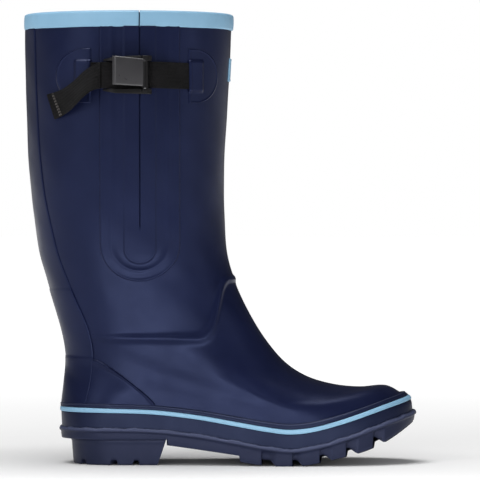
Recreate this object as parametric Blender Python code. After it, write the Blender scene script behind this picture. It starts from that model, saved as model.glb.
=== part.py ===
"""Rubber wellington boot for the right foot, with a webbing strap and cam buckle over a calf gusset.

Lengths are in millimetres, and each mesh is scaled to metres as it is made. +X points to the toe, +Y to the
inner side of the leg and +Z up. The origin is on the ground, in the middle of the heel's diamond tread lug.

The foot and leg share one surface, a fan of section lines. Each section has a level s: 0 is the feather line,
where the upper meets the sole, and 1 is the rim. It runs from a point on the back line of the boot to one on
the front line. An angle goes round the section: 0 at the front, 90 degrees on the inner side, 180 behind.
"""

from math import acos, cos, pi, radians, sin, sqrt, tau

import bmesh
import bpy
from mathutils import Vector

MM = 0.001

# Overall sizes
TOE_REACH = 232.7  # origin to the tip of the outsole
HEEL_REACH = 42.6  # origin to the back of the outsole
BOOT_HEIGHT = 347.0
ANKLE_HEIGHT = 139.0  # where the foot has become a leg
LEG_BACK = 68.8  # the rim's reach behind the origin
LEG_FRONT = 90.0  # the rim's reach in front of it
LEG_HALF_WIDTH = 60.0
BALL_HALF_WIDTH = 49.0
HEEL_HALF_WIDTH = 37.6
TOE_ROUND = 68.0  # length over which the outsole closes at the toe
TOE_SHIFT = 4.5  # the toe tip's offset to the inner side

# Walls and gaps
RUBBER_WALL = 2.2
LINING_WALL = 1.0
LAYER_GAP = 0.35  # between pieces that lie on each other
PATCH_WALL = 0.8
FLANGE_INSET = 3.0  # from the outsole's edge in to the upper

# Foxing, the rubber band round the sole edge
FOXING_TOP = 0.08
STRIPE_LOW = 0.046
STRIPE_HIGH = 0.0625
STRIPE_CHANNEL = 0.0015  # the channel's margin beside the stripe, as a level
FOXING_WALL = 2.0
STRIPE_WALL = 1.0

# Outsole and heel
SOLE_UNDERSIDE_HEEL = 19.8
WAIST_HEIGHT = 15.6  # beside the heel's breast
TREAD_DEPTH = 4.6
LUG_DRAFT = 1.2
HEEL_BLOCK_BACK = 34.0
HEEL_BREAST = 40.0
HEEL_BREAST_SLOPE = 6.5
HEEL_BLOCK_INSET = 4.0  # from the outsole's edge in to the heel block
HEEL_TREAD_DEPTH = 3.8
HEEL_GROOVE = 4.6

# Rim binding
BINDING_WIDTH = 12.5
BINDING_WALL = 1.0

# Gusset, on the outer side of the calf
GUSSET_X = 20.4
GUSSET_HALF_WIDTH = 30.3
GUSSET_BOTTOM = 139.6
SLIT_WIDTH = 1.2
SLIT_BOTTOM = 182.0
FOLD_DEPTH = 11.6  # how far each fold of the bellows reaches from the slit
FOLD_BOTTOM = 156.0
FOLD_WALL = 0.8
FOLD_GAP = 0.8  # from the leg's wall in to the bellows

# Strap and its patches
STRAP_Z = 297.5
STRAP_WIDTH = 20.0
STRAP_WALL = 1.4
ANCHOR_WALL = 1.0
PATCH_SPACE = 6.3  # from the gusset's edge to a patch's straight edge
PATCH_EDGE = GUSSET_HALF_WIDTH + PATCH_SPACE  # from the slit
PATCH_HALF_HEIGHT = 20.8
PATCH_REACH = 30.0
PATCH_SHOULDER = 2.4  # the slope round the webbing's end
STRAP_HOLD = 11.0  # length of webbing under a patch

# Buckle
BUCKLE_FRONT = 30.0
BUCKLE_BACK = -7.0
BUCKLE_CHEEK = 4.0
BUCKLE_SIDE_CLEARANCE = 0.5
BUCKLE_BASE_WALL = 2.0
BUCKLE_DEPTH = 11.4
BUCKLE_LIFT = 0.3  # off the gusset surround
BAR_X = -3.8
BAR_RADIUS = 1.0
PIN_X = 25.0
PIN_RADIUS = 1.0
PIN_CLEARANCE = 0.07
CAM_RADIUS = 2.5
CAM_LOBE = 0.5
LEVER_END = 0.3
LEVER_WALL = 2.0
LEVER_RISE = 0.6  # the free end's height over the cheeks
TAIL_ROOT_X = -9.0  # the line about which the strap's free end swings
TAIL_LENGTH = 45.5
TAIL_TURN = 39.0  # the most that the tail turns down from level, in degrees
TAIL_FIRST = 0.55  # the share of that turn where it leaves the buckle
TAIL_LAST = 0.45  # and at its free end
TAIL_TUCK = 44.0  # the most that its upper edge twists in towards the leg, in degrees
TAIL_CLEARANCE = 3.6  # from the leg to the webbing's middle, over the rear patch
TAIL_WALL = 1.4

# Badge, heel stay and counter
BADGE_LOW = 295.0
BADGE_HEIGHT = 18.0
BADGE_HALF_WIDTH = 9.0
BADGE_WALL = 1.4
COUNTER_TOP = 34.5  # above the foxing
COUNTER_REACH = 48.5
COUNTER_CENTRE_X = -16.0
COUNTER_ARCH = 2.3  # the top edge's fall towards the front: 1 is straight, 2 is a parabola
COUNTER_GAP = 1.0  # from the vamp out to the heel counter

# Size plate under the waist
PLATE_BACK = 62.0
PLATE_LENGTH = 13.0
PLATE_WIDTH = 34.0
PLATE_WALL = 0.7

# Inside the sole
FILLER_WALL = 2.6
BOARD_WALL = 2.0
FOOTBED_WALL = 4.0
SHANK_WIDTH = 16.0
SHANK_WALL = 1.4
SHANK_BACK = 4.0
SHANK_FRONT = 100.0
INSIDE_CLEARANCE = 1.0
FOOTBED_TOE_ROOM = 10.0  # from the insole board's tip back to the footbed's
END_ZONE = 14.0  # the length at each end of the footbed that is shaped by itself

# The walls' columns, as degrees from the back or the front to the side, closer where the heel and toe turn.
QUARTER = (0.0, 6.5, 13.0, 19.5, 26.0, 32.5, 39.0, 46.0, 55.0, 66.0, 78.0)

# (level, back reach / HEEL_REACH, back height / ANKLE_HEIGHT, front reach / TOE_REACH and
# front height / ANKLE_HEIGHT). Heights are above the feather line's faded height.
FOOT_SECTIONS = (
    (0.00, 0.940, 0.000, 0.986, 0.000),
    (0.05, 0.953, 0.099, 0.978, 0.084),
    (0.08, 0.944, 0.153, 0.954, 0.143),
    (0.11, 0.927, 0.215, 0.902, 0.229),
    (0.15, 0.904, 0.301, 0.817, 0.287),
    (0.19, 0.883, 0.387, 0.722, 0.359),
    (0.23, 0.873, 0.473, 0.632, 0.441),
    (0.27, 0.878, 0.566, 0.559, 0.542),
    (0.31, 0.923, 0.671, 0.494, 0.683),
    (0.36, 1.033, 0.816, 0.438, 0.849),
    (0.42, 1.197, 1.000, 0.395, 1.022),
)
# (level, back reach / LEG_BACK, front reach / LEG_FRONT, share of the way from ANKLE_HEIGHT to BOOT_HEIGHT)
LEG_SECTIONS = (
    (0.50, 0.836, 0.961, 0.115),
    (0.60, 0.907, 0.933, 0.264),
    (0.70, 0.952, 0.934, 0.423),
    (0.80, 0.981, 0.956, 0.620),
    (0.90, 0.997, 0.981, 0.808),
    (1.00, 1.000, 1.000, 1.000),
)
# (level, half width / LEG_HALF_WIDTH)
GIRTH = (
    (0.00, 0.640),
    (0.20, 0.660),
    (0.31, 0.700),
    (0.42, 0.775),
    (0.50, 0.833),
    (0.60, 0.892),
    (0.70, 0.942),
    (0.80, 0.980),
    (0.90, 0.997),
    (1.00, 1.000),
)
ANKLE_LEVEL = 0.42
# The walls' rows, as levels. They bend to follow the seam between vamp and leg, which is one of them.
ROWS = (
    *(0.0, 0.0435, 0.0575, 0.08, 0.095, 0.12, 0.15, 0.18, 0.205, 0.23, 0.255, 0.28, 0.31),
    *(0.35, 0.40, 0.45, 0.52, 0.60, 0.70, 0.80, 0.90, 1.0),
)
SEAM_ROW = 0.31
SEAM_INSTEP_LEVEL = 0.425
SEAM_BEND_START, SEAM_BEND_END = 0.15, 0.60
# (level, angle from the back in degrees) of the back stay's edge
STAY_EDGE = (
    (0.08, 31.0),
    (0.19, 37.0),
    (0.33, 44.5),
    (0.42, 40.5),
    (0.60, 34.0),
    (0.75, 29.5),
    (1.00, 27.0),
)
# (x / TOE_REACH, height) of the feather line
FEATHER_LINE = (
    (-0.20, 28.6),
    (0.10, 28.2),
    (0.26, 24.6),
    (0.41, 18.8),
    (0.50, 15.2),
    (0.58, 13.3),
    (0.66, 15.6),
    (0.77, 22.8),
    (0.90, 33.3),
    (1.00, 40.5),
)
# (x / TOE_REACH, height) of the lugs' ground line under the forefoot, whose ball rests on the ground.
TREAD_LINE = (
    (0.38, 4.5),
    (0.42, 3.0),
    (0.48, 1.0),
    (0.53, 0.0),
    (0.60, 0.0),
    (0.65, 1.3),
    (0.74, 5.8),
    (0.83, 11.3),
    (0.90, 18.4),
    (1.00, 33.0),
)
# (start, end) of each lug / TOE_REACH
LUGS = (
    (0.417, 0.486),
    (0.533, 0.589),
    (0.623, 0.679),
    (0.718, 0.765),
    (0.804, 0.855),
    (0.894, 1.000),
)
# Half of the heel's groove pattern: (x, y) to (x, y). The other half is its mirror.
HEEL_GROOVES = (
    ((22.1, 0.0), (16.6, 10.5)),
    ((16.6, 10.5), (17.2, 40.0)),
    ((16.0, 14.0), (8.0, 16.2)),
    ((8.0, 16.2), (-2.5, 37.0)),
    ((8.0, 16.2), (-5.0, 1.0)),
    ((2.0, 9.0), (-36.0, 28.5)),
    ((-4.5, 3.2), (-24.0, 6.3)),
)


def smooth(value):
    """A smooth step from 0 at 0 to 1 at 1."""
    t = min(1.0, max(0.0, value))
    return t * t * (3 - 2 * t)


def mix(a, b, share):
    return a + (b - a) * share


def read_curve(points, where, column=1):
    """A smooth curve through the points' given column, read at a place along their first column."""
    places = [p[0] for p in points]
    values = [p[column] for p in points]
    last = len(points) - 1
    if where <= places[0]:
        return values[0]
    if where >= places[last]:
        return values[last]
    i = max(k for k in range(last) if places[k] <= where)

    def slope(k):
        low, high = max(k - 1, 0), min(k + 1, last)
        return (values[high] - values[low]) / (places[high] - places[low])

    span = places[i + 1] - places[i]
    t = (where - places[i]) / span
    return (
        (2 * t**3 - 3 * t**2 + 1) * values[i]
        + (t**3 - 2 * t**2 + t) * span * slope(i)
        + (3 * t**2 - 2 * t**3) * values[i + 1]
        + (t**3 - t**2) * span * slope(i + 1)
    )


def feather(x):
    return read_curve(FEATHER_LINE, x / TOE_REACH)


def tread_line(x):
    return max(0.0, read_curve(TREAD_LINE, x / TOE_REACH))


def section_table():
    """Each section as (level, back x, back height, front x, front height)."""
    rows = [
        (s, -bx * HEEL_REACH, bz * ANKLE_HEIGHT, fx * TOE_REACH, fz * ANKLE_HEIGHT)
        for s, bx, bz, fx, fz in FOOT_SECTIONS
    ]
    for s, back, front, share in LEG_SECTIONS:
        height = mix(ANKLE_HEIGHT, BOOT_HEIGHT, share)
        rows.append((s, -back * LEG_BACK, height, front * LEG_FRONT, height))
    return rows


SECTIONS = section_table()


def sole_centre(x):
    return TOE_SHIFT * smooth((x / TOE_REACH - 0.45) / 0.4)


def sole_half_width(x):
    """The outsole's half width before its ends are rounded."""
    return mix(HEEL_HALF_WIDTH, BALL_HALF_WIDTH, smooth((x / TOE_REACH - 0.22) / 0.42))


def rounded(x, back, front, back_round, front_round):
    """1 along the middle of a length, closing as a quarter of an ellipse at each end."""
    into_front = max(0.0, 1 - (front - x) / front_round)
    into_back = max(0.0, 1 - (x - back) / back_round)
    return sqrt(max(0.0, 1 - into_front**2)) * sqrt(max(0.0, 1 - into_back**2))


def base_point(level, angle):
    """The upper's outer surface."""
    back, back_height, front, front_height = (read_curve(SECTIONS, level, k) for k in (1, 2, 3, 4))
    share = (1 + cos(angle)) / 2
    x = mix(back, front, share)
    foot = 1 - smooth(level / ANKLE_LEVEL)
    z = foot * feather(x) + mix(back_height, front_height, share)
    leg_half = read_curve(GIRTH, level) * LEG_HALF_WIDTH
    half = mix(leg_half, sole_half_width(x) - FLANGE_INSET, foot)
    middle = (front - back) / 2
    closing = rounded(
        x,
        back,
        front,
        mix(middle, HEEL_HALF_WIDTH - FLANGE_INSET, foot),
        mix(middle, TOE_ROUND - FLANGE_INSET, foot),
    )
    side = 1 if sin(angle) >= 0 else -1
    return Vector((x, foot * sole_centre(x) + side * half * closing, z))


def skin(level, angle, offset=0.0):
    """A point on the upper's surface, moved out along the normal by the offset."""
    step = 0.002
    low, high = max(0.0, level - step), min(1.0, level + step)
    up = base_point(high, angle) - base_point(low, angle)
    along = base_point(level, angle + step) - base_point(level, angle - step)
    return base_point(level, angle) + along.cross(up).normalized() * offset


def level_at_height(z, angle=pi / 2):
    """The level whose section passes a height at an angle."""
    low, high = 0.0, 1.0
    for _ in range(30):
        middle = (low + high) / 2
        if base_point(middle, angle).z < z:
            low = middle
        else:
            high = middle
    return (low + high) / 2


def angle_at_x(level, x):
    """The inner side's angle where a section passes an x."""
    back, front = read_curve(SECTIONS, level, 1), read_curve(SECTIONS, level, 3)
    return acos(max(-1.0, min(1.0, 2 * (x - back) / (front - back) - 1)))


def outer_side(x, z):
    """(level, angle) of a place on the leg's outer side, which faces -Y."""
    angle = tau - pi / 2
    for _ in range(4):
        level = level_at_height(z, angle)
        angle = tau - angle_at_x(level, x)
    return level, angle


def outer_walk(x, z, distance):
    """(level, angle) on the outer side, a distance forward along the section from a place."""
    level, angle = outer_side(x, z)
    steps = 24
    for _ in range(steps):
        speed = (base_point(level, angle + 0.001) - base_point(level, angle)).length / 0.001
        angle += distance / steps / speed
    return level, angle


def leg_y(x, z):
    """The y of the leg's outer side."""
    return base_point(*outer_side(x, z)).y


def seam_level(angle):
    """The level of the seam between vamp and leg: low at the back and sides, high over the instep."""
    turn = min(angle, tau - angle)
    return mix(SEAM_INSTEP_LEVEL, SEAM_ROW, smooth((turn - radians(20)) / radians(52)))


def row_level(row, angle):
    """The level of a row at an angle, bent so that the seam's row lies on the seam."""
    seam = seam_level(angle)
    if row <= SEAM_BEND_START or row >= SEAM_BEND_END:
        return row
    if row <= SEAM_ROW:
        return mix(SEAM_BEND_START, seam, (row - SEAM_BEND_START) / (SEAM_ROW - SEAM_BEND_START))
    return mix(seam, SEAM_BEND_END, (row - SEAM_ROW) / (SEAM_BEND_END - SEAM_ROW))


def wall_columns():
    """The angles of the walls' columns, right round."""
    front = [radians(d) for d in QUARTER]
    back = [pi - a for a in reversed(front)]
    inner = front + [pi / 2] + back
    return inner + [tau - a for a in reversed(inner[1:-1])]


ANGLES = wall_columns()


def leg_heights(low, high):
    """Heights up the leg from low to high, at the walls' rows between."""
    heights = [base_point(row, pi / 2).z for row in ROWS if row >= ANKLE_LEVEL]
    return [low] + [z for z in heights if low + 3 < z < high - 3] + [high]


def material(name, colour, roughness, metallic=0.0):
    made = bpy.data.materials.new(name)
    made.use_nodes = True
    shader = made.node_tree.nodes["Principled BSDF"]
    shader.inputs["Base Color"].default_value = (*colour, 1)
    shader.inputs["Roughness"].default_value = roughness
    shader.inputs["Metallic"].default_value = metallic
    return made


def clear_scene():
    for obj in list(bpy.data.objects):
        bpy.data.objects.remove(obj)


def make_object(name, points, faces, finish):
    """One mesh object, from points in millimetres, with its faces turned outwards."""
    mesh = bpy.data.meshes.new(name)
    mesh.from_pydata([Vector(p) * MM for p in points], [], faces)
    shape = bmesh.new()
    shape.from_mesh(mesh)
    bmesh.ops.recalc_face_normals(shape, faces=shape.faces)
    shape.to_mesh(mesh)
    shape.free()
    mesh.shade_smooth()
    mesh.set_sharp_from_angle(angle=radians(35))
    obj = bpy.data.objects.new(name, mesh)
    if finish:
        mesh.materials.append(finish)
    bpy.context.collection.objects.link(obj)
    return obj


def as_tool(obj):
    """Marks an object that only cuts or joins another, so that it isn't a piece itself."""
    obj.hide_render = True
    obj.display_type = "WIRE"
    return obj


def cutter_object(name, points, faces):
    return as_tool(make_object(name, points, faces, None))


def cut(obj, cutter):
    boolean = obj.modifiers.new("Cut " + cutter.name, "BOOLEAN")
    boolean.operation = "DIFFERENCE"
    boolean.solver = "EXACT"
    boolean.object = cutter


def loft(name, loops, finish, closed=False):
    """A solid through closed loops of points. The first and last get caps unless the loops form a ring."""
    count = len(loops[0])
    points = [p for loop in loops for p in loop]
    faces = []
    pairs = len(loops) if closed else len(loops) - 1
    for i in range(pairs):
        here, there = i * count, (i + 1) % len(loops) * count
        for j in range(count):
            k = (j + 1) % count
            faces.append((here + j, here + k, there + k, there + j))
    if not closed:
        faces.append(tuple(range(count))[::-1])
        faces.append(tuple(range(len(points) - count, len(points))))
    return make_object(name, points, faces, finish)


def ring(name, profile, finish):
    """A band right round the boot. The profile gives, for an angle, a closed loop of (level, offset)."""
    loops = [profile(angle) for angle in ANGLES]
    count = len(loops[0])
    points = [skin(level, angle, offset) for angle, loop in zip(ANGLES, loops) for level, offset in loop]
    faces = []
    for i, loop in enumerate(loops):
        here, there = i * count, (i + 1) % len(loops) * count
        for j in range(count):
            k = (j + 1) % count
            corners = (here + j, here + k, there + k, there + j)
            faces += split(corners, loop[j][0] <= loop[k][0])
    return make_object(name, points, faces, finish)


def split(corners, rising):
    """Two triangles from a quad, split one way in every layer: from low at one angle to high at the next."""
    a, b, c, d = corners
    return [(a, b, c), (a, c, d)] if rising else [(a, b, d), (b, c, d)]


def wall_profile(rows, outside, inside):
    """The profile of a wall over some rows."""

    def profile(angle):
        levels = [row_level(row, angle) for row in rows]
        return [(s, outside) for s in levels] + [(s, inside) for s in reversed(levels)]

    return profile


def patch(name, grid, inside, outside, finish):
    """A layer over a grid of (level, angle) places. The offsets are functions of the row and column."""
    rows, columns = len(grid), len(grid[0])
    points = []
    for height in (outside, inside):
        for i in range(rows):
            points += [skin(*grid[i][j], height(i, j)) for j in range(columns)]
    size = rows * columns
    faces = []
    for i in range(rows - 1):
        for j in range(columns - 1):
            a = i * columns + j
            corners = (a, a + 1, a + columns + 1, a + columns)
            for face in split(corners, grid[i][j][1] <= grid[i][j + 1][1]):
                faces.append(face)
                faces.append(tuple(size + k for k in reversed(face)))
    edge = [j for j in range(columns)]
    edge += [i * columns + columns - 1 for i in range(1, rows)]
    edge += [(rows - 1) * columns + j for j in range(columns - 2, -1, -1)]
    edge += [i * columns for i in range(rows - 2, 0, -1)]
    for a, b in zip(edge, edge[1:] + edge[:1]):
        faces.append((a, size + a, size + b, b))
    return make_object(name, points, faces, finish)


def flat(offset):
    return lambda row, column: offset


def extruded(name, outline, low, high, finish):
    """An outline of (x, y), extruded from one height to another."""
    return loft(name, [[(x, y, z) for x, y in outline] for z in (low, high)], finish)


def pivot_at(obj, place):
    """Moves the object's origin to a place and leaves its shape where it is."""
    place = Vector(place) * MM
    for vertex in obj.data.vertices:
        vertex.co -= place
    obj.location = place
    return obj


def circle(x, y, radius, count=16, start=0.0, turn=tau):
    whole = abs(turn) >= tau
    steps = count if whole else count - 1
    return [
        (x + radius * cos(start + turn * i / steps), y + radius * sin(start + turn * i / steps))
        for i in range(count)
    ]


def spaced(low, high, step):
    """Evenly spaced values from low to high, no further apart than the step."""
    count = max(1, round((high - low) / step + 0.49))
    return [mix(low, high, i / count) for i in range(count + 1)]


def end_spaced(back, front, back_round, front_round, step):
    """Places along a length, closer together where its ends are rounded."""
    places = [back + back_round * (1 - cos(pi / 2 * i / 6)) for i in range(7)]
    places += spaced(back + back_round, front - front_round, step)[1:-1]
    places += [front - front_round * (1 - cos(pi / 2 * i / 8)) for i in range(8, -1, -1)]
    places[0] += 0.3
    places[-1] -= 0.3
    return places


def bent_alike(places, below):
    """Places for a piece that lies on another: its own near its ends, and the other's between them."""
    back, front = places[0] + END_ZONE, places[-1] - END_ZONE
    between = [x for x in below if back < x < front]
    return [x for x in places if x < back] + between + [x for x in places if x > front]


def slab(name, places, edges, bottom, top, finish):
    """A solid of four-sided sections along x. Edges gives (low y, high y) for an x."""
    loops = []
    for x in places:
        low, high = edges(x)
        loops.append([(x, low, bottom(x)), (x, high, bottom(x)), (x, high, top(x)), (x, low, top(x))])
    return loft(name, loops, finish)


def sole_edges(inset, toe_room=0.0):
    """The sole's outline moved in by an inset, and further at the toe, as a function of x."""

    def edges(x):
        closing = rounded(
            x, inset - HEEL_REACH, TOE_REACH - toe_room - inset, HEEL_HALF_WIDTH - inset, TOE_ROUND - inset
        )
        half = (sole_half_width(x) - inset) * closing
        return sole_centre(x) - half, sole_centre(x) + half

    return edges


def waist_height(x):
    """The underside of the waist, between the heel's breast and the first lug."""
    start, end = HEEL_BREAST, LUGS[0][0] * TOE_REACH
    return mix(WAIST_HEIGHT, tread_line(end) + TREAD_DEPTH, (x - start) / (end - start))


def make_outsole(finish):
    """The moulded sole: a flange that carries the upper, a waist, and lugs across the forefoot."""
    breast = HEEL_BREAST + LAYER_GAP
    waist_start = breast + 1.0
    lugs = [(start * TOE_REACH, end * TOE_REACH) for start, end in LUGS]
    first, tip = lugs[0][0], lugs[-1][0]

    def bottom(x):
        if x <= breast:
            return SOLE_UNDERSIDE_HEEL
        if x < first:
            return waist_height(x)
        on_lug = any(start <= x <= end for start, end in lugs)
        return tread_line(x) + (0.0 if on_lug else TREAD_DEPTH)

    places = end_spaced(-HEEL_REACH, TOE_REACH, HEEL_HALF_WIDTH, TOE_ROUND, 18.0)
    places = [x for x in places if x < breast - 3 or waist_start + 3 < x < first - 4]
    places += [breast, waist_start, tip - LUG_DRAFT]
    for start, end in lugs[:-1]:
        places += [start - LUG_DRAFT, start, (start + end) / 2, end, end + LUG_DRAFT]
    places += [tip + (TOE_REACH - tip) * sin(pi / 2 * share) for share in (0.0, 0.3, 0.5, 0.68, 0.82, 0.92)]
    places.append(TOE_REACH - 0.2)
    return slab(
        "outsole",
        sorted(places),
        sole_edges(0.0),
        bottom,
        lambda x: feather(x) - LAYER_GAP,
        finish,
    )


def heel_outline(inset):
    """The heel block's plan outline: straight at the breast and round at the back."""
    half = HEEL_HALF_WIDTH - HEEL_BLOCK_INSET - inset
    back = -HEEL_BLOCK_BACK + inset
    centre = back + half
    arc = circle(centre, 0, half, 17, pi / 2, pi)
    return arc, half


def make_heel_block(finish):
    """The heel block, with a raked breast and the tread grooves cut into its bottom."""
    taper = 1.5
    top = SOLE_UNDERSIDE_HEEL - LAYER_GAP
    loops = []
    for z, inset, breast in ((0.0, taper, HEEL_BREAST - HEEL_BREAST_SLOPE), (top, 0.0, HEEL_BREAST)):
        arc, half = heel_outline(inset)
        outline = [(breast, half)] + arc + [(breast, -half)]
        loops.append([(x, y, z) for x, y in outline])
    block = loft("heel_block", loops, finish)
    for number, (start, end) in enumerate(HEEL_GROOVES):
        for side in (1, -1):
            a = Vector((start[0], side * start[1]))
            b = Vector((end[0], side * end[1]))
            along = (b - a).normalized()
            across = Vector((-along.y, along.x)) * (HEEL_GROOVE / 2)
            a = a - along * 0.6
            b = b + along * 0.6
            outline = [a + across, b + across, b - across, a - across]
            # Grooves that cross differ a little in depth, so that no two floors coincide.
            depth = HEEL_TREAD_DEPTH + 0.02 * number + (0.01 if side > 0 else 0.0)
            points = [(p.x, p.y, z) for z in (-2.0, depth) for p in outline]
            which = "inner" if side > 0 else "outer"
            cut(block, cutter_object(f"groove_{number}_{which}", points, box_faces()))
    return block


def make_sole_insides(board, filler, steel, foam):
    """What the sole holds: fillers beside a shank, the insole board over them, and the loose footbed."""

    def over(height):
        return lambda x: feather(x) + height

    def lengthwise(inset, toe_room):
        back, front = inset - HEEL_REACH, TOE_REACH - inset - toe_room
        return end_spaced(back, front, HEEL_HALF_WIDTH - inset, TOE_ROUND - inset, 16.0)

    inset = FLANGE_INSET + RUBBER_WALL + LINING_WALL + LAYER_GAP + INSIDE_CLEARANCE
    toe_room = 2 * INSIDE_CLEARANCE
    edges = sole_edges(inset, toe_room)
    whole = lengthwise(inset, toe_room)
    shank_gap = 2.0
    heel_places = [x for x in whole if x < SHANK_BACK - shank_gap - 3] + [SHANK_BACK - shank_gap]
    ball_places = [SHANK_FRONT + shank_gap] + [x for x in whole if x > SHANK_FRONT + shank_gap + 3]
    low = LAYER_GAP
    high = low + FILLER_WALL
    slab("heel_filler", heel_places, edges, over(low), over(high), filler)
    slab("forefoot_filler", ball_places, edges, over(low), over(high), filler)
    half = SHANK_WIDTH / 2
    shank_places = spaced(SHANK_BACK, SHANK_FRONT, 16.0)
    slab("shank", shank_places, lambda x: (-half, half), over(high - SHANK_WALL), over(high), steel)
    low = high + LAYER_GAP
    high = low + BOARD_WALL
    slab("insole_board", whole, edges, over(low), over(high), board)
    low = high + LAYER_GAP
    high = low + FOOTBED_WALL
    inset += INSIDE_CLEARANCE
    toe_room += FOOTBED_TOE_ROOM
    places = bent_alike(lengthwise(inset, toe_room), whole)
    slab("footbed", places, sole_edges(inset, toe_room), over(low), over(high), foam)


def box_faces():
    """Faces for four points and, after them, the four above."""
    return [(0, 1, 2, 3), (4, 5, 6, 7)] + [(i, (i + 1) % 4, (i + 1) % 4 + 4, i + 4) for i in range(4)]


def box_points(low, high):
    corners = ((low[0], low[1]), (high[0], low[1]), (high[0], high[1]), (low[0], high[1]))
    return [(x, y, z) for z in (low[2], high[2]) for x, y in corners]


def make_slit():
    """A thin block that cuts the slit through everything at the gusset's middle."""
    near = leg_y(GUSSET_X, BOOT_HEIGHT)
    half = SLIT_WIDTH / 2
    low = (GUSSET_X - half, near - 12, SLIT_BOTTOM)
    high = (GUSSET_X + half, near + 25, BOOT_HEIGHT + 10)
    return cutter_object("slit_cutter", box_points(low, high), box_faces())


def make_fold_room():
    """The room for the folded bellows, from just inside the leg's wall to well inside the boot."""
    half = FOLD_DEPTH + 1.5
    top = BOOT_HEIGHT - BINDING_WALL + 0.1
    grid = []
    for z in leg_heights(FOLD_BOTTOM - 1.5, top):
        grid.append([outer_side(GUSSET_X + half * mix(-1, 1, j / 6), z) for j in range(7)])
    return as_tool(patch("fold_room", grid, flat(-20.0), flat(-RUBBER_WALL / 2), None))


def make_upper(rubber, cloth, slit, room):
    """Vamp, leg and lining, each a thin wall that follows the fan of sections."""
    shell_top = level_at_height(BOOT_HEIGHT - BINDING_WALL - LAYER_GAP)
    seam_half_gap = 0.0009
    low_rows = [row for row in ROWS if row < SEAM_ROW]
    high_rows = [row for row in ROWS if SEAM_ROW < row < 1.0] + [shell_top]
    ring("vamp", wall_profile(low_rows + [SEAM_ROW - seam_half_gap], 0.0, -RUBBER_WALL), rubber)
    leg = ring("leg", wall_profile([SEAM_ROW + seam_half_gap] + high_rows, 0.0, -RUBBER_WALL), rubber)
    cut(leg, slit)
    outside = -(RUBBER_WALL + LAYER_GAP)
    lining_rows = low_rows + [SEAM_ROW] + high_rows
    lining = ring("lining", wall_profile(lining_rows, outside, outside - LINING_WALL), cloth)
    cut(lining, room)


def make_foxing(rubber, blue):
    """The band round the sole edge, with a channel for the coloured stripe."""
    channel_low, channel_high = STRIPE_LOW - STRIPE_CHANNEL, STRIPE_HIGH + STRIPE_CHANNEL
    seat = LAYER_GAP + 1.0
    outside = LAYER_GAP + FOXING_WALL

    def band(angle):
        return [
            (0.0, LAYER_GAP),
            (0.0, outside),
            (channel_low, outside),
            (channel_low, seat),
            (channel_high, seat),
            (channel_high, outside - 0.4),
            (FOXING_TOP, outside - 0.8),
            (FOXING_TOP, LAYER_GAP),
            (channel_high, LAYER_GAP),
            (channel_low, LAYER_GAP),
        ]

    def stripe(angle):
        near = seat + LAYER_GAP
        far = near + STRIPE_WALL
        return [(STRIPE_LOW, near), (STRIPE_LOW, far), (STRIPE_HIGH, far), (STRIPE_HIGH, near)]

    ring("foxing", band, rubber)
    ring("foxing_stripe", stripe, blue)


def make_heel_counter(rubber):
    """The low wall round the heel, which stands on the foxing under an arched top edge."""
    low = FOXING_TOP + 0.004
    base = base_point(FOXING_TOP, pi).z

    def top_level(angle):
        reach = (base_point(low, angle).x - COUNTER_CENTRE_X) / COUNTER_REACH
        rise = COUNTER_TOP * (1 - min(1.0, max(0.0, reach)) ** COUNTER_ARCH)
        return level_at_height(base + rise, angle)

    end = angle_at_x(low, COUNTER_CENTRE_X + COUNTER_REACH * 0.97)
    inner = [end] + [angle for angle in ANGLES if end + 0.03 < angle < pi]
    across = inner + [pi] + [tau - angle for angle in reversed(inner)]
    rows = 5
    grid = [[(mix(low, top_level(angle), i / rows), angle) for angle in across] for i in range(rows + 1)]
    patch("heel_counter", grid, flat(COUNTER_GAP), flat(COUNTER_GAP + PATCH_WALL), rubber)


def make_back_stay(rubber):
    """The strip that covers the back seam at full height, over the heel counter."""
    low = FOXING_TOP + 0.004
    high = level_at_height(base_point(FOXING_TOP, pi).z + COUNTER_TOP, pi)
    top = level_at_height(BOOT_HEIGHT - BINDING_WIDTH - LAYER_GAP, pi)
    step = high + 0.004
    clear = step + 0.018
    rows = [low] + [row for row in ROWS if low + 0.01 < row < high - 0.01] + [step, clear]
    rows += [row for row in ROWS if clear + 0.015 < row < top - 0.02] + [top]
    grid = []
    for row in rows:
        reach = radians(read_curve(STAY_EDGE, row))
        grid.append([(row, mix(pi - reach, pi + reach, j / 12)) for j in range(13)])

    def inside(row, column):
        return COUNTER_GAP + PATCH_WALL + LAYER_GAP if rows[row] < clear else LAYER_GAP

    patch("back_stay", grid, inside, lambda i, j: inside(i, j) + PATCH_WALL, rubber)


def make_binding(blue, slit, room):
    """The bright tape folded over the rim, inside and out. Its inner flap stops at the folded bellows."""
    edge = level_at_height(BOOT_HEIGHT - BINDING_WIDTH)
    under = level_at_height(BOOT_HEIGHT - BINDING_WALL)
    outside = LAYER_GAP
    inside = -(RUBBER_WALL + LINING_WALL + 2 * LAYER_GAP)

    def profile(angle):
        return [
            (edge, outside),
            (edge, outside + BINDING_WALL),
            (1.0, outside + BINDING_WALL),
            (1.0, inside - BINDING_WALL),
            (edge, inside - BINDING_WALL),
            (edge, inside),
            (under, inside),
            (under, outside),
        ]

    binding = ring("rim_binding", profile, blue)
    cut(binding, slit)
    cut(binding, room)


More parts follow.
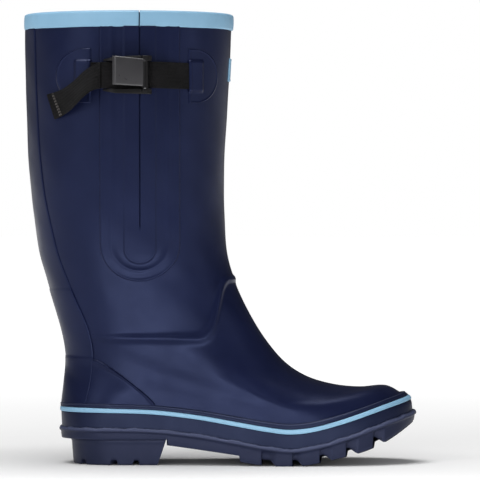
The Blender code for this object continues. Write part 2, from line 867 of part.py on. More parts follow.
def make_gusset(rubber, slit):
    """The U-shaped surround on the calf, and the bellows folded flat behind its slit."""
    top = BOOT_HEIGHT - BINDING_WIDTH - LAYER_GAP
    radius = GUSSET_HALF_WIDTH
    centre = GUSSET_BOTTOM + radius
    rows = [centre - radius * cos(pi / 2 * (i + 0.6) / 6.6) for i in range(7)]
    rows += leg_heights(centre, top)[1:]
    grid = []
    for z in rows:
        half = radius if z >= centre else sqrt(radius**2 - (centre - z) ** 2)
        grid.append([outer_side(GUSSET_X + half * mix(-1, 1, j / 8), z) for j in range(9)])
    surround = patch("gusset_surround", grid, flat(LAYER_GAP), flat(LAYER_GAP + PATCH_WALL), rubber)
    cut(surround, slit)

    front = -(RUBBER_WALL + FOLD_GAP)
    first = front - FOLD_WALL
    second = first - LAYER_GAP
    last = second - FOLD_WALL
    lip = SLIT_WIDTH / 2
    end = FOLD_DEPTH
    inner_end = FOLD_DEPTH - FOLD_WALL
    corners = [
        (-lip, front),
        (-end, front),
        (-end, last),
        (end, last),
        (end, front),
        (lip, front),
        (lip, first),
        (inner_end, first),
        (inner_end, second),
        (-inner_end, second),
        (-inner_end, first),
        (-lip, first),
    ]
    outline = []
    for (x0, d0), (x1, d1) in zip(corners, corners[1:] + corners[:1]):
        steps = max(1, round(abs(x1 - x0) / 5.0))
        outline += [(mix(x0, x1, i / steps), mix(d0, d1, i / steps)) for i in range(steps)]
    loops = []
    for z in leg_heights(FOLD_BOTTOM, BOOT_HEIGHT - BINDING_WALL - LAYER_GAP):
        loops.append([skin(*outer_side(GUSSET_X + x, z), depth) for x, depth in outline])
    loft("gusset_bellows", loops, rubber)


def make_strap_patch(name, direction, webbing, finish):
    """A D-shaped patch that holds a webbing end. Direction is +1 for the front patch, -1 for the rear one."""
    edge = GUSSET_X + direction * PATCH_EDGE
    held = STRAP_WIDTH / 2 + 0.6
    rows = [-1.0, -0.94, -0.82]
    rows = [share * PATCH_HALF_HEIGHT for share in rows]
    rows += [-(held + PATCH_SHOULDER), -held, 0.0, held, held + PATCH_SHOULDER]
    rows += [share * PATCH_HALF_HEIGHT for share in (0.82, 0.94, 1.0)]
    shoulder_end = STRAP_HOLD + 0.6 + PATCH_SHOULDER
    grid, raised = [], []
    for dz in rows:
        bulge = sqrt(max(0.0, 1 - (dz / PATCH_HALF_HEIGHT) ** 2))
        reach = max(4.0, PATCH_REACH * bulge**0.8)
        squeeze = min(1.0, (reach - 1.5) / (shoulder_end + 2))
        places = [place * squeeze for place in (0.0, STRAP_HOLD / 2, STRAP_HOLD + 0.6, shoulder_end)]
        places += [mix(places[-1], reach, 0.5), reach]
        grid.append([outer_walk(edge, STRAP_Z + dz, direction * place) for place in places])
        raised.append([abs(dz) <= held and column <= 2 for column in range(len(places))])
    lift = webbing + LAYER_GAP

    def inside(row, column):
        return LAYER_GAP + (lift if raised[row][column] else 0.0)

    patch(name, grid, inside, lambda i, j: inside(i, j) + PATCH_WALL, finish)


def buckle_back():
    """The y of the buckle's back, just off the gusset surround."""
    ends = (BUCKLE_BACK, (BUCKLE_BACK + BUCKLE_FRONT) / 2, BUCKLE_FRONT)
    top = STRAP_Z + STRAP_WIDTH / 2 + BUCKLE_CHEEK
    return min(leg_y(x, top) for x in ends) - (LAYER_GAP + PATCH_WALL + BUCKLE_LIFT)


def bar_y():
    """The y of the bar that the anchor strap loops round."""
    return buckle_back() - (BAR_RADIUS + LAYER_GAP + ANCHOR_WALL)


def strap_y():
    """The y of the webbing's inner face inside the buckle, clear of the anchor strap's loop."""
    return bar_y() - (BAR_RADIUS + LAYER_GAP + ANCHOR_WALL) - LAYER_GAP


def pin_y():
    return strap_y() - STRAP_WALL - LAYER_GAP - CAM_RADIUS - CAM_LOBE


def woven(name, path, walls, finish):
    """Webbing as wide as the strap. The path gives its inner and outer faces at a height as (x, y) lists."""
    loops = []
    for i in range(3):
        z = STRAP_Z + STRAP_WIDTH * (i / 2 - 0.5)
        inner, outer = path(z, walls)
        loops.append([(x, y, z) for x, y in inner + outer[::-1]])
    return loft(name, loops, finish)


def on_leg(places, z, inside, wall):
    """A strip's two faces over some places on the leg."""
    inner, outer = [], []
    for x, distance in places:
        place = outer_walk(x, z, distance)
        for face, depth in ((inner, inside), (outer, inside + wall)):
            point = skin(*place, depth)
            face.append((point.x, point.y))
    return inner, outer


def make_adjusting_strap(webbing):
    """The webbing from the front patch, over the gusset's edge and through the buckle."""
    edge = GUSSET_X + PATCH_EDGE
    hold = STRAP_HOLD - 0.4
    gusset_edge = GUSSET_X + GUSSET_HALF_WIDTH

    def path(z, wall):
        inner, outer = on_leg([(edge, hold), (edge, hold / 2), (edge, 0.0)], z, LAYER_GAP + 0.2, wall)
        over_inner, over_outer = on_leg([(gusset_edge + 1.5, 0.0)], z, LAYER_GAP + PATCH_WALL + 0.6, wall)
        end = TAIL_ROOT_X + TAIL_WALL / 2 + LAYER_GAP
        inner += over_inner + [(BUCKLE_FRONT + 1.0, strap_y()), (end, strap_y())]
        outer += over_outer + [(BUCKLE_FRONT + 1.4, strap_y() - wall), (end, strap_y() - wall)]
        return inner, outer

    woven("adjusting_strap", path, STRAP_WALL, webbing)


def tail_heading(share):
    """How far the tail has turned down from level: most in the middle, and less again at its end."""
    gained = mix(TAIL_FIRST, 1.0, smooth(share * 3))
    return radians(TAIL_TURN) * gained * mix(1.0, TAIL_LAST, smooth((share - 0.55) / 0.45))


def tail_tuck(share):
    """How far the tail has twisted, its upper edge towards the leg: most a little before its middle."""
    return radians(TAIL_TUCK) * sin(pi * share**0.8)


def tail_place(share):
    """The (x, z) of the tail's centre line at a share of its length."""
    steps = 12
    x, z = TAIL_ROOT_X, STRAP_Z
    for i in range(steps):
        heading = tail_heading(share * (i + 0.5) / steps)
        x -= share * TAIL_LENGTH / steps * cos(heading)
        z -= share * TAIL_LENGTH / steps * sin(heading)
    return x, z


def make_strap_tail(webbing):
    """The free end: it slopes out of the buckle, twists as it drops backwards, and stands off the leg."""
    half = STRAP_WIDTH / 2
    root_y = strap_y() - STRAP_WALL / 2
    loops = []
    count = 11
    for i in range(count + 1):
        share = i / count
        x, z = tail_place(share)
        lean = tail_heading(share) * smooth(share * 4)
        tuck = tail_tuck(share)
        across = Vector((-sin(lean) * cos(tuck), sin(tuck), cos(lean) * cos(tuck))) * half
        # The webbing stays clear of the leg over its whole width, and falls back towards it along its length.
        near = min(leg_y(x + across.x * side, z + across.z * side) - across.y * side for side in (-1, 0, 1))
        clear = near - TAIL_CLEARANCE
        stand = mix(root_y, clear, smooth(share * 1.1))
        centre = Vector((x, min(stand, clear) if i else root_y, z))
        thick = Vector((0, TAIL_WALL / 2, 0))
        low = centre - across
        high = centre + across
        corners = [low + thick, low - thick, high - thick, high + thick]
        if i == 0:
            ahead = Vector((TAIL_WALL / 2, 0, 0))
            nose = [corner + ahead - thick * (0.6 if corner.y > root_y else -0.6) for corner in corners]
            loops.append(nose)
        loops.append(corners)
    pivot_at(loft("strap_tail", loops, webbing), (TAIL_ROOT_X, root_y, STRAP_Z))


def make_anchor_strap(webbing):
    """The short doubled webbing from the rear patch, looped round the buckle's bar."""
    edge = GUSSET_X - PATCH_EDGE
    hold = STRAP_HOLD - 0.4
    radius = BAR_RADIUS + LAYER_GAP
    loop = radius + ANCHOR_WALL
    gusset_edge = GUSSET_X - GUSSET_HALF_WIDTH

    def path(z, wall):
        inner, outer = on_leg([(edge, -hold), (edge, -hold / 2), (edge, 0.0)], z, LAYER_GAP + 0.2, wall)
        over_inner, over_outer = on_leg([(gusset_edge - 1.0, 0.0)], z, LAYER_GAP + PATCH_WALL + 0.3, wall)
        around = circle(BAR_X, bar_y(), loop, 9, radians(90), -radians(180))
        return inner + over_inner + around, outer + over_outer

    strap = woven("anchor_strap", path, 2 * ANCHOR_WALL, webbing)
    bore = circle(BAR_X, bar_y(), radius, 12)
    reach = STRAP_WIDTH / 2 + 2
    cut(strap, as_tool(extruded("anchor_bore", bore, STRAP_Z - reach, STRAP_Z + reach, None)))


def join(obj, tool):
    boolean = obj.modifiers.new("Join " + tool.name, "BOOLEAN")
    boolean.operation = "UNION"
    boolean.solver = "EXACT"
    boolean.object = as_tool(tool)


def make_buckle(plastic, steel):
    """The buckle's frame, its pin, and the cam lever that turns on it."""
    back = buckle_back()
    front = back - BUCKLE_DEPTH
    inside = STRAP_WIDTH / 2 + BUCKLE_SIDE_CLEARANCE
    outside = inside + BUCKLE_CHEEK
    nose = 3.0
    outline = [(BUCKLE_BACK, back - 1.5), (BUCKLE_BACK + 1.5, back), (BUCKLE_FRONT - 1.0, back)]
    outline += circle(BUCKLE_FRONT - nose, front + nose, nose, 6, 0, -pi / 2)
    outline += [(BUCKLE_BACK + 9, front + 1.0), (BUCKLE_BACK, bar_y() - 1.8)]
    cheeks = []
    for name, side in (("buckle_frame", 1), ("lower_cheek", -1)):
        low, high = sorted((STRAP_Z + side * inside, STRAP_Z + side * outside))
        cheeks.append(extruded(name, outline, low, high, plastic))
    frame = cheeks[0]
    join(frame, cheeks[1])
    overlap = inside + 1.0
    base_top = strap_y() + LAYER_GAP
    base_low = (BAR_X + BAR_RADIUS + 2 * LAYER_GAP + ANCHOR_WALL + 0.4, base_top, STRAP_Z - overlap)
    base_high = (BUCKLE_FRONT - 2.0, base_top + BUCKLE_BASE_WALL, STRAP_Z + overlap)
    join(frame, make_object("buckle_base", box_points(base_low, base_high), box_faces(), plastic))
    bar = circle(BAR_X, bar_y(), BAR_RADIUS, 12)
    join(frame, extruded("buckle_bar", bar, STRAP_Z - overlap, STRAP_Z + overlap, plastic))
    bore = extruded(
        "pin_bore",
        circle(PIN_X, pin_y(), PIN_RADIUS + PIN_CLEARANCE, 20),
        STRAP_Z - outside - 2,
        STRAP_Z + outside + 2,
        None,
    )
    cut(frame, as_tool(bore))
    pin = circle(PIN_X, pin_y(), PIN_RADIUS, 20)
    extruded("buckle_pin", pin, STRAP_Z - outside + 0.2, STRAP_Z + outside - 0.2, steel)

    # The cam's lobe faces the webbing, and the plate runs back from the cam over the frame.
    half = inside - 0.4
    plate_out = front - LEVER_RISE
    plate_in = front + LEVER_WALL - LEVER_RISE
    outline = []
    for i in range(11):
        turn = radians(150 - 24 * i)
        radius = CAM_RADIUS + CAM_LOBE * max(0.0, sin(turn)) ** 6
        outline.append((PIN_X + radius * cos(turn), pin_y() + radius * sin(turn)))
    outline += [(PIN_X - 4.0, plate_out), (LEVER_END + 2.0, plate_out), (LEVER_END, plate_out + 0.8)]
    outline += [(LEVER_END, plate_in), (PIN_X - 6.0, plate_in)]
    lever = extruded("buckle_lever", outline, STRAP_Z - half, STRAP_Z + half, plastic)
    cut(pivot_at(lever, (PIN_X, pin_y(), STRAP_Z)), bore)


def make_badge(blue):
    """The plain raised label on the front of the leg."""
    grid = []
    for z in spaced(BADGE_LOW, BADGE_LOW + BADGE_HEIGHT, 6.0):
        level = level_at_height(z, 0.0)
        width = base_point(level, pi / 2).y
        spread = BADGE_HALF_WIDTH / width
        grid.append([(level, mix(spread, -spread, j / 4)) for j in range(5)])
    patch("front_badge", grid, flat(LAYER_GAP), flat(LAYER_GAP + BADGE_WALL), blue)


def make_size_plate(rubber):
    """The raised plain rectangle under the waist, where a size is moulded."""

    def under(depth):
        return lambda x: waist_height(x) - depth

    half = PLATE_WIDTH / 2
    ends = [PLATE_BACK, PLATE_BACK + PLATE_LENGTH]
    slab(
        "size_plate",
        ends,
        lambda x: (-half, half),
        under(LAYER_GAP + PLATE_WALL),
        under(LAYER_GAP),
        rubber,
    )


def build():
    clear_scene()
    navy = material("navy_rubber", (0.016, 0.021, 0.060), 0.45)
    sole_navy = material("sole_rubber", (0.012, 0.016, 0.045), 0.6)
    blue = material("light_blue_rubber", (0.30, 0.58, 0.78), 0.45)
    webbing = material("black_webbing", (0.02, 0.02, 0.02), 0.9)
    plastic = material("black_plastic", (0.02, 0.02, 0.022), 0.35)
    steel = material("steel", (0.6, 0.6, 0.62), 0.3, 1.0)
    cloth = material("cotton_lining", (0.62, 0.60, 0.56), 0.95)
    board = material("fibre_board", (0.42, 0.30, 0.18), 0.9)
    filler = material("cork_filler", (0.45, 0.33, 0.20), 0.95)
    foam = material("footbed_foam", (0.10, 0.12, 0.22), 0.95)

    slit = make_slit()
    room = make_fold_room()
    make_outsole(sole_navy)
    make_heel_block(sole_navy)
    make_sole_insides(board, filler, steel, foam)
    make_upper(navy, cloth, slit, room)
    make_foxing(navy, blue)
    make_heel_counter(navy)
    make_back_stay(navy)
    make_binding(blue, slit, room)
    make_gusset(navy, slit)
    make_strap_patch("rear_strap_patch", -1, 2 * ANCHOR_WALL + 0.2, navy)
    make_strap_patch("front_strap_patch", 1, STRAP_WALL + 0.2, navy)
    make_adjusting_strap(webbing)
    make_strap_tail(webbing)
    make_anchor_strap(webbing)
    make_buckle(plastic, steel)
    make_badge(blue)
    make_size_plate(sole_navy)


build()
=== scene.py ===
"""Looks for the rubber wellington boot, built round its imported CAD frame.

Sizes are in millimetres until a mesh is made. The boot's surface is the CAD model's own. It is a fan of
sections from the feather line (level 0) to the rim (level 1), with an angle that goes round each from the
front by the inner side.
"""

import bpy
import numpy as np
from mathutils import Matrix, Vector


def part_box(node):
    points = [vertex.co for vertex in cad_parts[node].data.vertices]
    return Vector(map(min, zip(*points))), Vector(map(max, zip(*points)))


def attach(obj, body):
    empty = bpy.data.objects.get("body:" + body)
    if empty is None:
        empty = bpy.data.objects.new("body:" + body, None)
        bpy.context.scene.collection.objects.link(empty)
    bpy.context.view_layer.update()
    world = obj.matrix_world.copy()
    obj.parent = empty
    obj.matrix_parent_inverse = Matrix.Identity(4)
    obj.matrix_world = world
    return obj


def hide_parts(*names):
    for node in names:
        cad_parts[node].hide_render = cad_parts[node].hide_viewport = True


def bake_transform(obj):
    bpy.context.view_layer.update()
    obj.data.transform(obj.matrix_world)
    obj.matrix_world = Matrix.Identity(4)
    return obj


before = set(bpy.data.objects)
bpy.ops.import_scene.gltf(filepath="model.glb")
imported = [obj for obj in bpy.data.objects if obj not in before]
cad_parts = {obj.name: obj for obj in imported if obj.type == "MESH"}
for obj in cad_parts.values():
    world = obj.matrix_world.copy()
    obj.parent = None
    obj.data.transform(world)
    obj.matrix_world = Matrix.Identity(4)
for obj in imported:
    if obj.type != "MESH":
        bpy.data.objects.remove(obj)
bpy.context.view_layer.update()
MM = 0.001
TURN = 2 * np.pi

TOE_REACH, HEEL_REACH = 232.7, 42.6
BOOT_HEIGHT, ANKLE_HEIGHT = 347.0, 139.0
LEG_BACK, LEG_FRONT, LEG_HALF_WIDTH = 68.8, 90.0, 60.0
BALL_HALF_WIDTH, HEEL_HALF_WIDTH = 49.0, 37.6
TOE_ROUND, TOE_SHIFT = 68.0, 4.5
FLANGE_INSET = 3.0
ANKLE_LEVEL = 0.42
FOXING_TOP = 0.08
STRIPE_LOW, STRIPE_HIGH = 0.046, 0.0625
SEAM_ROW, SEAM_INSTEP_LEVEL = 0.31, 0.425
SOLE_UNDERSIDE_HEEL, WAIST_HEIGHT, TREAD_DEPTH, LUG_DRAFT = 19.8, 15.6, 4.6, 1.2
HEEL_BLOCK_BACK, HEEL_BREAST, HEEL_BREAST_SLOPE = 34.0, 40.0, 6.5
HEEL_BLOCK_INSET, HEEL_TREAD_DEPTH = 4.0, 3.8
BINDING_WIDTH = 12.5
GUSSET_X, GUSSET_HALF_WIDTH, GUSSET_BOTTOM = 20.4, 30.3, 139.6
INNER_HALF_WIDTH, INNER_BOTTOM, SLIT_BOTTOM = 12.1, 154.2, 182.0
STRAP_Z, STRAP_WIDTH, STRAP_WALL = 297.5, 20.0, 1.4
PATCH_EDGE, PATCH_HALF_HEIGHT, PATCH_REACH, STRAP_HOLD = 36.6, 20.8, 30.0, 11.0
BUCKLE_FRONT, BUCKLE_BACK = 30.0, -7.0
BUCKLE_Y, BAR_Y, STRAP_Y, PIN_Y = -61.315, -63.665, -66.365, -71.115
BUCKLE_FACE_Y = -72.715
BAR_X, PIN_X = -3.8, 25.0
TAIL_ROOT_X, TAIL_LENGTH, TAIL_TURN = -9.0, 45.5, 39.0
TAIL_FIRST, TAIL_LAST, TAIL_TUCK, TAIL_CLEARANCE = 0.55, 0.45, 44.0, 3.6
BADGE_LOW, BADGE_HEIGHT, BADGE_HALF_WIDTH = 295.0, 18.0, 9.0
COUNTER_TOP, COUNTER_REACH, COUNTER_CENTRE_X, COUNTER_ARCH = 34.5, 48.5, -16.0, 2.3
PLATE_BACK, PLATE_LENGTH, PLATE_WIDTH = 62.0, 13.0, 34.0
LEVER_END, LEVER_LEAN = 0.3, (1.6, 3.6)
PIN_RADIUS, BAR_RADIUS, CAM_RADIUS = 1.0, 1.0, 2.45
STAY_LAP = 135.5  # the height at which the stay's lower layer starts
FOLD_HALF = 12.5
LEVEL_MM = 265.0  # the height of one level near the sole, for the edges of layers there
SOLE_LIP = 3.1
GROOVE_HALF = 1.9
LAYER_GAP, FILLER_WALL, BOARD_WALL = 0.35, 2.6, 2.0
FOOTBED_LIFT = FILLER_WALL + BOARD_WALL + 3 * LAYER_GAP
RIBS, PICK_LENGTH, PICK_LEAN = 8, 0.95, 0.9
WALE, COURSE, COURSE_LEAN = 0.0016, 0.0014, 0.0007
SHARP_ANGLE, BEVEL_ANGLE = np.radians(50), np.radians(35)
SPECK_SCALE, SPECK_SHARE = 700.0, 0.16
ROUGH_PATCH, ROUGH_BELOW, ROUGH_ABOVE = 3.1, 0.05, 0.07
COAT_ROUGHNESS, WEAVE_DEPTH = 0.28, 0.25
LENS, CAMERA_PLACE, CAMERA_TARGET = 251.4, (0.0966, -2.6, 0.1895), (0.0966, 0.0, 0.1724)
FLOOR_RADIUS, GLOW_START, GLOW_END, GLOW = 30, 0.15, 1.6, 0.92
WORLD_LIGHT, WORLD_GLOSSY = 0.13, 0.06
MIDDLE = (0.06, 0.0, 0.17)
LAMPS = (
    # name, place, the point that it faces, size, power
    ("key", (-1.25, -1.4, 0.95), MIDDLE, (0.7, 1.1), 7.5),
    ("over_camera", (-0.1, -1.6, 1.0), MIDDLE, (1.0, 0.30), 2),
    ("top", (-0.1, -0.1, 1.5), MIDDLE, (0.9, 0.9), 19),
    ("right", (1.4, -0.8, 0.6), MIDDLE, (0.5, 1.0), 1.3),
    # A low reflector card in front, which the foot's sides lean towards.
    ("card", (0.08, -0.30, 0.012), (0.08, -0.05, 0.080), (0.50, 0.09), 0.85),
)

FOOT_SECTIONS = (
    (0.00, 0.940, 0.000, 0.986, 0.000),
    (0.05, 0.953, 0.099, 0.978, 0.084),
    (0.08, 0.944, 0.153, 0.954, 0.143),
    (0.11, 0.927, 0.215, 0.902, 0.229),
    (0.15, 0.904, 0.301, 0.817, 0.287),
    (0.19, 0.883, 0.387, 0.722, 0.359),
    (0.23, 0.873, 0.473, 0.632, 0.441),
    (0.27, 0.878, 0.566, 0.559, 0.542),
    (0.31, 0.923, 0.671, 0.494, 0.683),
    (0.36, 1.033, 0.816, 0.438, 0.849),
    (0.42, 1.197, 1.000, 0.395, 1.022),
)
LEG_SECTIONS = (
    (0.50, 0.836, 0.961, 0.115), (0.60, 0.907, 0.933, 0.264), (0.70, 0.952, 0.934, 0.423),
    (0.80, 0.981, 0.956, 0.620), (0.90, 0.997, 0.981, 0.808), (1.00, 1.000, 1.000, 1.000),
)
GIRTH = (
    (0.00, 0.640), (0.20, 0.660), (0.31, 0.700), (0.42, 0.775), (0.50, 0.833), (0.60, 0.892),
    (0.70, 0.942), (0.80, 0.980), (0.90, 0.997), (1.00, 1.000),
)
STAY_EDGE = (
    (0.08, 31.0), (0.19, 37.0), (0.33, 44.5), (0.42, 40.5), (0.60, 34.0), (0.75, 29.5),
    (1.00, 27.0),
)
FEATHER_LINE = (
    (-0.20, 28.6), (0.10, 28.2), (0.26, 24.6), (0.41, 18.8), (0.50, 15.2), (0.58, 13.3),
    (0.66, 15.6), (0.77, 22.8), (0.90, 33.3), (1.00, 40.5),
)
TREAD_LINE = (
    (0.38, 4.5), (0.42, 3.0), (0.48, 1.0), (0.53, 0.0), (0.60, 0.0), (0.65, 1.3), (0.74, 5.8),
    (0.83, 11.3), (0.90, 18.4), (1.00, 33.0),
)
LUGS = (
    (0.417, 0.486), (0.533, 0.589), (0.623, 0.679), (0.718, 0.765), (0.804, 0.855), (0.894, 1.000),
)
HEEL_GROOVES = (
    ((22.1, 0.0), (16.6, 10.5)),
    ((16.6, 10.5), (17.2, 40.0)),
    ((16.0, 14.0), (8.0, 16.2)),
    ((8.0, 16.2), (-2.5, 37.0)),
    ((8.0, 16.2), (-5.0, 1.0)),
    ((2.0, 9.0), (-36.0, 28.5)),
    ((-4.5, 3.2), (-24.0, 6.3)),
)


# The boot's surface


def smooth(value):
    t = np.clip(value, 0.0, 1.0)
    return t * t * (3 - 2 * t)


def mix(a, b, share):
    return a + (b - a) * share


def peak(value, middle, width):
    """A soft peak that is 1 at the middle."""
    return np.exp(-(((value - middle) / width) ** 2))


def join(*parts):
    """The parts' values in one row."""
    return np.hstack(parts)


def curve(points, where, column=1):
    """A smooth curve through the points' given column, read at places along their first column."""
    table = np.array(points, float)
    places, values = table[:, 0], table[:, column]
    order = np.arange(len(places))
    low, high = np.maximum(order - 1, 0), np.minimum(order + 1, len(places) - 1)
    slopes = (values[high] - values[low]) / (places[high] - places[low])
    where = np.clip(where, places[0], places[-1])
    i = np.clip(np.searchsorted(places, where, side="right") - 1, 0, len(places) - 2)
    span = places[i + 1] - places[i]
    t = (where - places[i]) / span
    return (
        (2 * t**3 - 3 * t**2 + 1) * values[i]
        + (t**3 - 2 * t**2 + t) * span * slopes[i]
        + (3 * t**2 - 2 * t**3) * values[i + 1]
        + (t**3 - t**2) * span * slopes[i + 1]
    )


def section_table():
    rows = [
        (s, -bx * HEEL_REACH, bz * ANKLE_HEIGHT, fx * TOE_REACH, fz * ANKLE_HEIGHT)
        for s, bx, bz, fx, fz in FOOT_SECTIONS
    ]
    for s, back, front, share in LEG_SECTIONS:
        height = mix(ANKLE_HEIGHT, BOOT_HEIGHT, share)
        rows.append((s, -back * LEG_BACK, height, front * LEG_FRONT, height))
    return rows


SECTIONS = section_table()
LEG_LEVELS = np.linspace(ANKLE_LEVEL, 1.0, 600)
LEG_HEIGHTS = curve(SECTIONS, LEG_LEVELS, 2)


def feather(x):
    return curve(FEATHER_LINE, x / TOE_REACH)


def tread_line(x):
    return np.maximum(0.0, curve(TREAD_LINE, x / TOE_REACH))


def sole_centre(x):
    return TOE_SHIFT * smooth((x / TOE_REACH - 0.45) / 0.4)


def sole_half_width(x):
    return mix(HEEL_HALF_WIDTH, BALL_HALF_WIDTH, smooth((x / TOE_REACH - 0.22) / 0.42))


def rounded(x, back, front, back_round, front_round):
    into_front = np.maximum(0.0, 1 - (front - x) / front_round)
    into_back = np.maximum(0.0, 1 - (x - back) / back_round)
    return np.sqrt(np.maximum(0.0, 1 - into_front**2)) * np.sqrt(np.maximum(0.0, 1 - into_back**2))


def base(level, angle):
    """Points on the upper's outer surface."""
    level, angle = np.broadcast_arrays(level, angle)
    back, back_height, front, front_height = (curve(SECTIONS, level, k) for k in (1, 2, 3, 4))
    share = (1 + np.cos(angle)) / 2
    x = mix(back, front, share)
    foot = 1 - smooth(level / ANKLE_LEVEL)
    z = foot * feather(x) + mix(back_height, front_height, share)
    half = mix(curve(GIRTH, level) * LEG_HALF_WIDTH, sole_half_width(x) - FLANGE_INSET, foot)
    middle = (front - back) / 2
    closing = rounded(
        x,
        back,
        front,
        mix(middle, HEEL_HALF_WIDTH - FLANGE_INSET, foot),
        mix(middle, TOE_ROUND - FLANGE_INSET, foot),
    )
    side = np.where(np.sin(angle) >= 0, 1.0, -1.0)
    return np.stack([x, foot * sole_centre(x) + side * half * closing, z], -1)


def skin(level, angle, offset=0.0):
    """Points on the surface, moved out along its normal by an offset."""
    step = 0.002
    up = base(np.minimum(1.0, level + step), angle) - base(np.maximum(0.0, level - step), angle)
    along = base(level, angle + step) - base(level, angle - step)
    normal = np.cross(along, up)
    normal /= np.linalg.norm(normal, axis=-1, keepdims=True)
    return base(level, angle) + normal * np.asarray(offset, float)[..., None]


def leg_level(z):
    return np.interp(z, LEG_HEIGHTS, LEG_LEVELS)


def outer_place(x, z):
    """(level, angle) of places on the leg's outer side."""
    level = leg_level(z)
    back, front = curve(SECTIONS, level, 1), curve(SECTIONS, level, 3)
    return level, TURN - np.arccos(np.clip(2 * (x - back) / (front - back) - 1, -1, 1))


def leg_y(x, z):
    return base(*outer_place(x, z))[..., 1]


def outer_walk(x, z, distance):
    """(level, angle) at distances forward along the leg's outer side from a place, for one height."""
    level, start = outer_place(x, z)
    angles = start + np.linspace(-1.2, 1.2, 481)
    points = base(level, angles)
    length = join(0.0, np.cumsum(np.linalg.norm(np.diff(points, axis=0), axis=1)))
    length -= np.interp(start, angles, length)
    return np.full(np.shape(distance), level), np.interp(distance, length, angles)


def level_at_height(z, angle):
    low, high = np.zeros(np.shape(angle)), np.ones(np.shape(angle))
    for _ in range(26):
        middle = (low + high) / 2
        under = base(middle, angle)[..., 2] < z
        low, high = np.where(under, middle, low), np.where(under, high, middle)
    return (low + high) / 2


def seam_level(angle):
    turn = np.minimum(angle % TURN, TURN - angle % TURN)
    return mix(SEAM_INSTEP_LEVEL, SEAM_ROW, smooth((turn - np.radians(20)) / np.radians(52)))


# Meshes


def grid_faces(rows, columns, wrap=False):
    """Quads over a grid of points. They face outwards where rows go up and columns go with the angle."""
    i, j = np.meshgrid(np.arange(rows - 1), np.arange(columns if wrap else columns - 1), indexing="ij")
    k = (j + 1) % columns
    corners = [i * columns + j, i * columns + k, (i + 1) * columns + k, (i + 1) * columns + j]
    return np.stack(corners, -1).reshape(-1, 4)


def piece(name, points, faces, finish, nodes=(), slot=None, body="boot", marks=None, uv=None, bevel=0.0):
    """One mesh of the object from points in millimetres, with the CAD nodes that it stands for."""
    mesh = bpy.data.meshes.new(name)
    points = np.asarray(points, float).reshape(-1, 3)
    mesh.from_pydata((points * MM).tolist(), [], [tuple(f) for f in np.asarray(faces, object).tolist()])
    mesh.shade_smooth()
    if marks is not None:
        mark = mesh.attributes.new("mark", "FLOAT", "POINT")
        mark.data.foreach_set("value", np.asarray(marks, np.float32).ravel())
    if uv is not None:
        index = np.zeros(len(mesh.loops), int)
        mesh.loops.foreach_get("vertex_index", index)
        layer = mesh.uv_layers.new(name="UVMap")
        layer.data.foreach_set("uv", np.asarray(uv, np.float32).reshape(-1, 2)[index].ravel())
    mesh.materials.append(finish)
    obj = bpy.data.objects.new(name, mesh)
    bpy.context.scene.collection.objects.link(obj)
    if bevel:
        mesh.set_sharp_from_angle(angle=SHARP_ANGLE)
        rounding = obj.modifiers.new("bevel", "BEVEL")
        rounding.width = bevel * MM
        rounding.segments = 3
        rounding.limit_method = "ANGLE"
        rounding.angle_limit = BEVEL_ANGLE
    if body:
        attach(obj, body)
    if nodes:
        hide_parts(*nodes)
    return obj


def grid_piece(name, points, finish, wrap=False, flip=False, **settings):
    faces = grid_faces(points.shape[0], points.shape[1], wrap)
    return piece(name, points, faces[:, ::-1] if flip else faces, finish, **settings)


def shoulder(distance, radius):
    """A rounded edge: 0 at the edge, 1 from the radius inwards."""
    t = np.clip(distance / radius, 0.0, 1.0)
    return np.sqrt(1 - (1 - t) ** 2)


def overlay(name, level, angle, height, finish, **settings):
    """A layer over a grid of places on the boot. Its border turns down into the surface."""
    level, angle = (np.pad(np.broadcast_to(v, height.shape), 1, mode="edge") for v in (level, angle))
    height = np.pad(height, 1, constant_values=-0.6)
    return grid_piece(name, skin(level, angle, height), finish, **settings)


def clustered(low, high, count, power=1.6):
    """Values from low to high, closer together at both ends."""
    t = np.linspace(-1, 1, count)
    return mix(low, high, (np.sign(t) * (1 - (1 - np.abs(t)) ** power) + 1) / 2)


# Materials


def node(tree, kind, inputs=None, **settings):
    made = tree.nodes.new("ShaderNode" + kind)
    for key, value in settings.items():
        setattr(made, key, value)
    for key, value in (inputs or {}).items():
        if isinstance(value, bpy.types.NodeSocket):
            tree.links.new(value, made.inputs[key])
        else:
            made.inputs[key].default_value = value
    return made


def noise(tree, place, scale, detail=2.0, roughness=0.5):
    inputs = {"Vector": place, "Scale": scale, "Detail": detail, "Roughness": roughness}
    return node(tree, "TexNoise", inputs).outputs["Fac"]


def maths(tree, operation, *values):
    return node(tree, "Math", dict(enumerate(values)), operation=operation).outputs[0]


def mapped(tree, value, start, stop, low, high):
    """A value that runs from start to stop, made to run from low to high."""
    inputs = {"Value": value, "From Min": start, "From Max": stop, "To Min": low, "To Max": high}
    return node(tree, "MapRange", inputs).outputs["Result"]


def between(tree, factor, low, high):
    """The middle part of a noise's range, made to run from low to high."""
    return mapped(tree, factor, 0.3, 0.7, low, high)


def blended(tree, factor, first, second, kind="MIX"):
    made = node(tree, "Mix", data_type="RGBA", blend_type=kind)
    for socket, value in ((made.inputs[0], factor), (made.inputs[6], first), (made.inputs[7], second)):
        if isinstance(value, bpy.types.NodeSocket):
            tree.links.new(value, socket)
        else:
            socket.default_value = (*value, 1.0) if isinstance(value, tuple) else value
    return made.outputs[2]


def bumped(tree, height, depth, normal):
    """The normal with one more layer of bumps, of a depth in millimetres."""
    inputs = {"Height": height, "Strength": 1.0, "Distance": depth * MM}
    if normal:
        inputs["Normal"] = normal
    return node(tree, "Bump", inputs).outputs["Normal"]


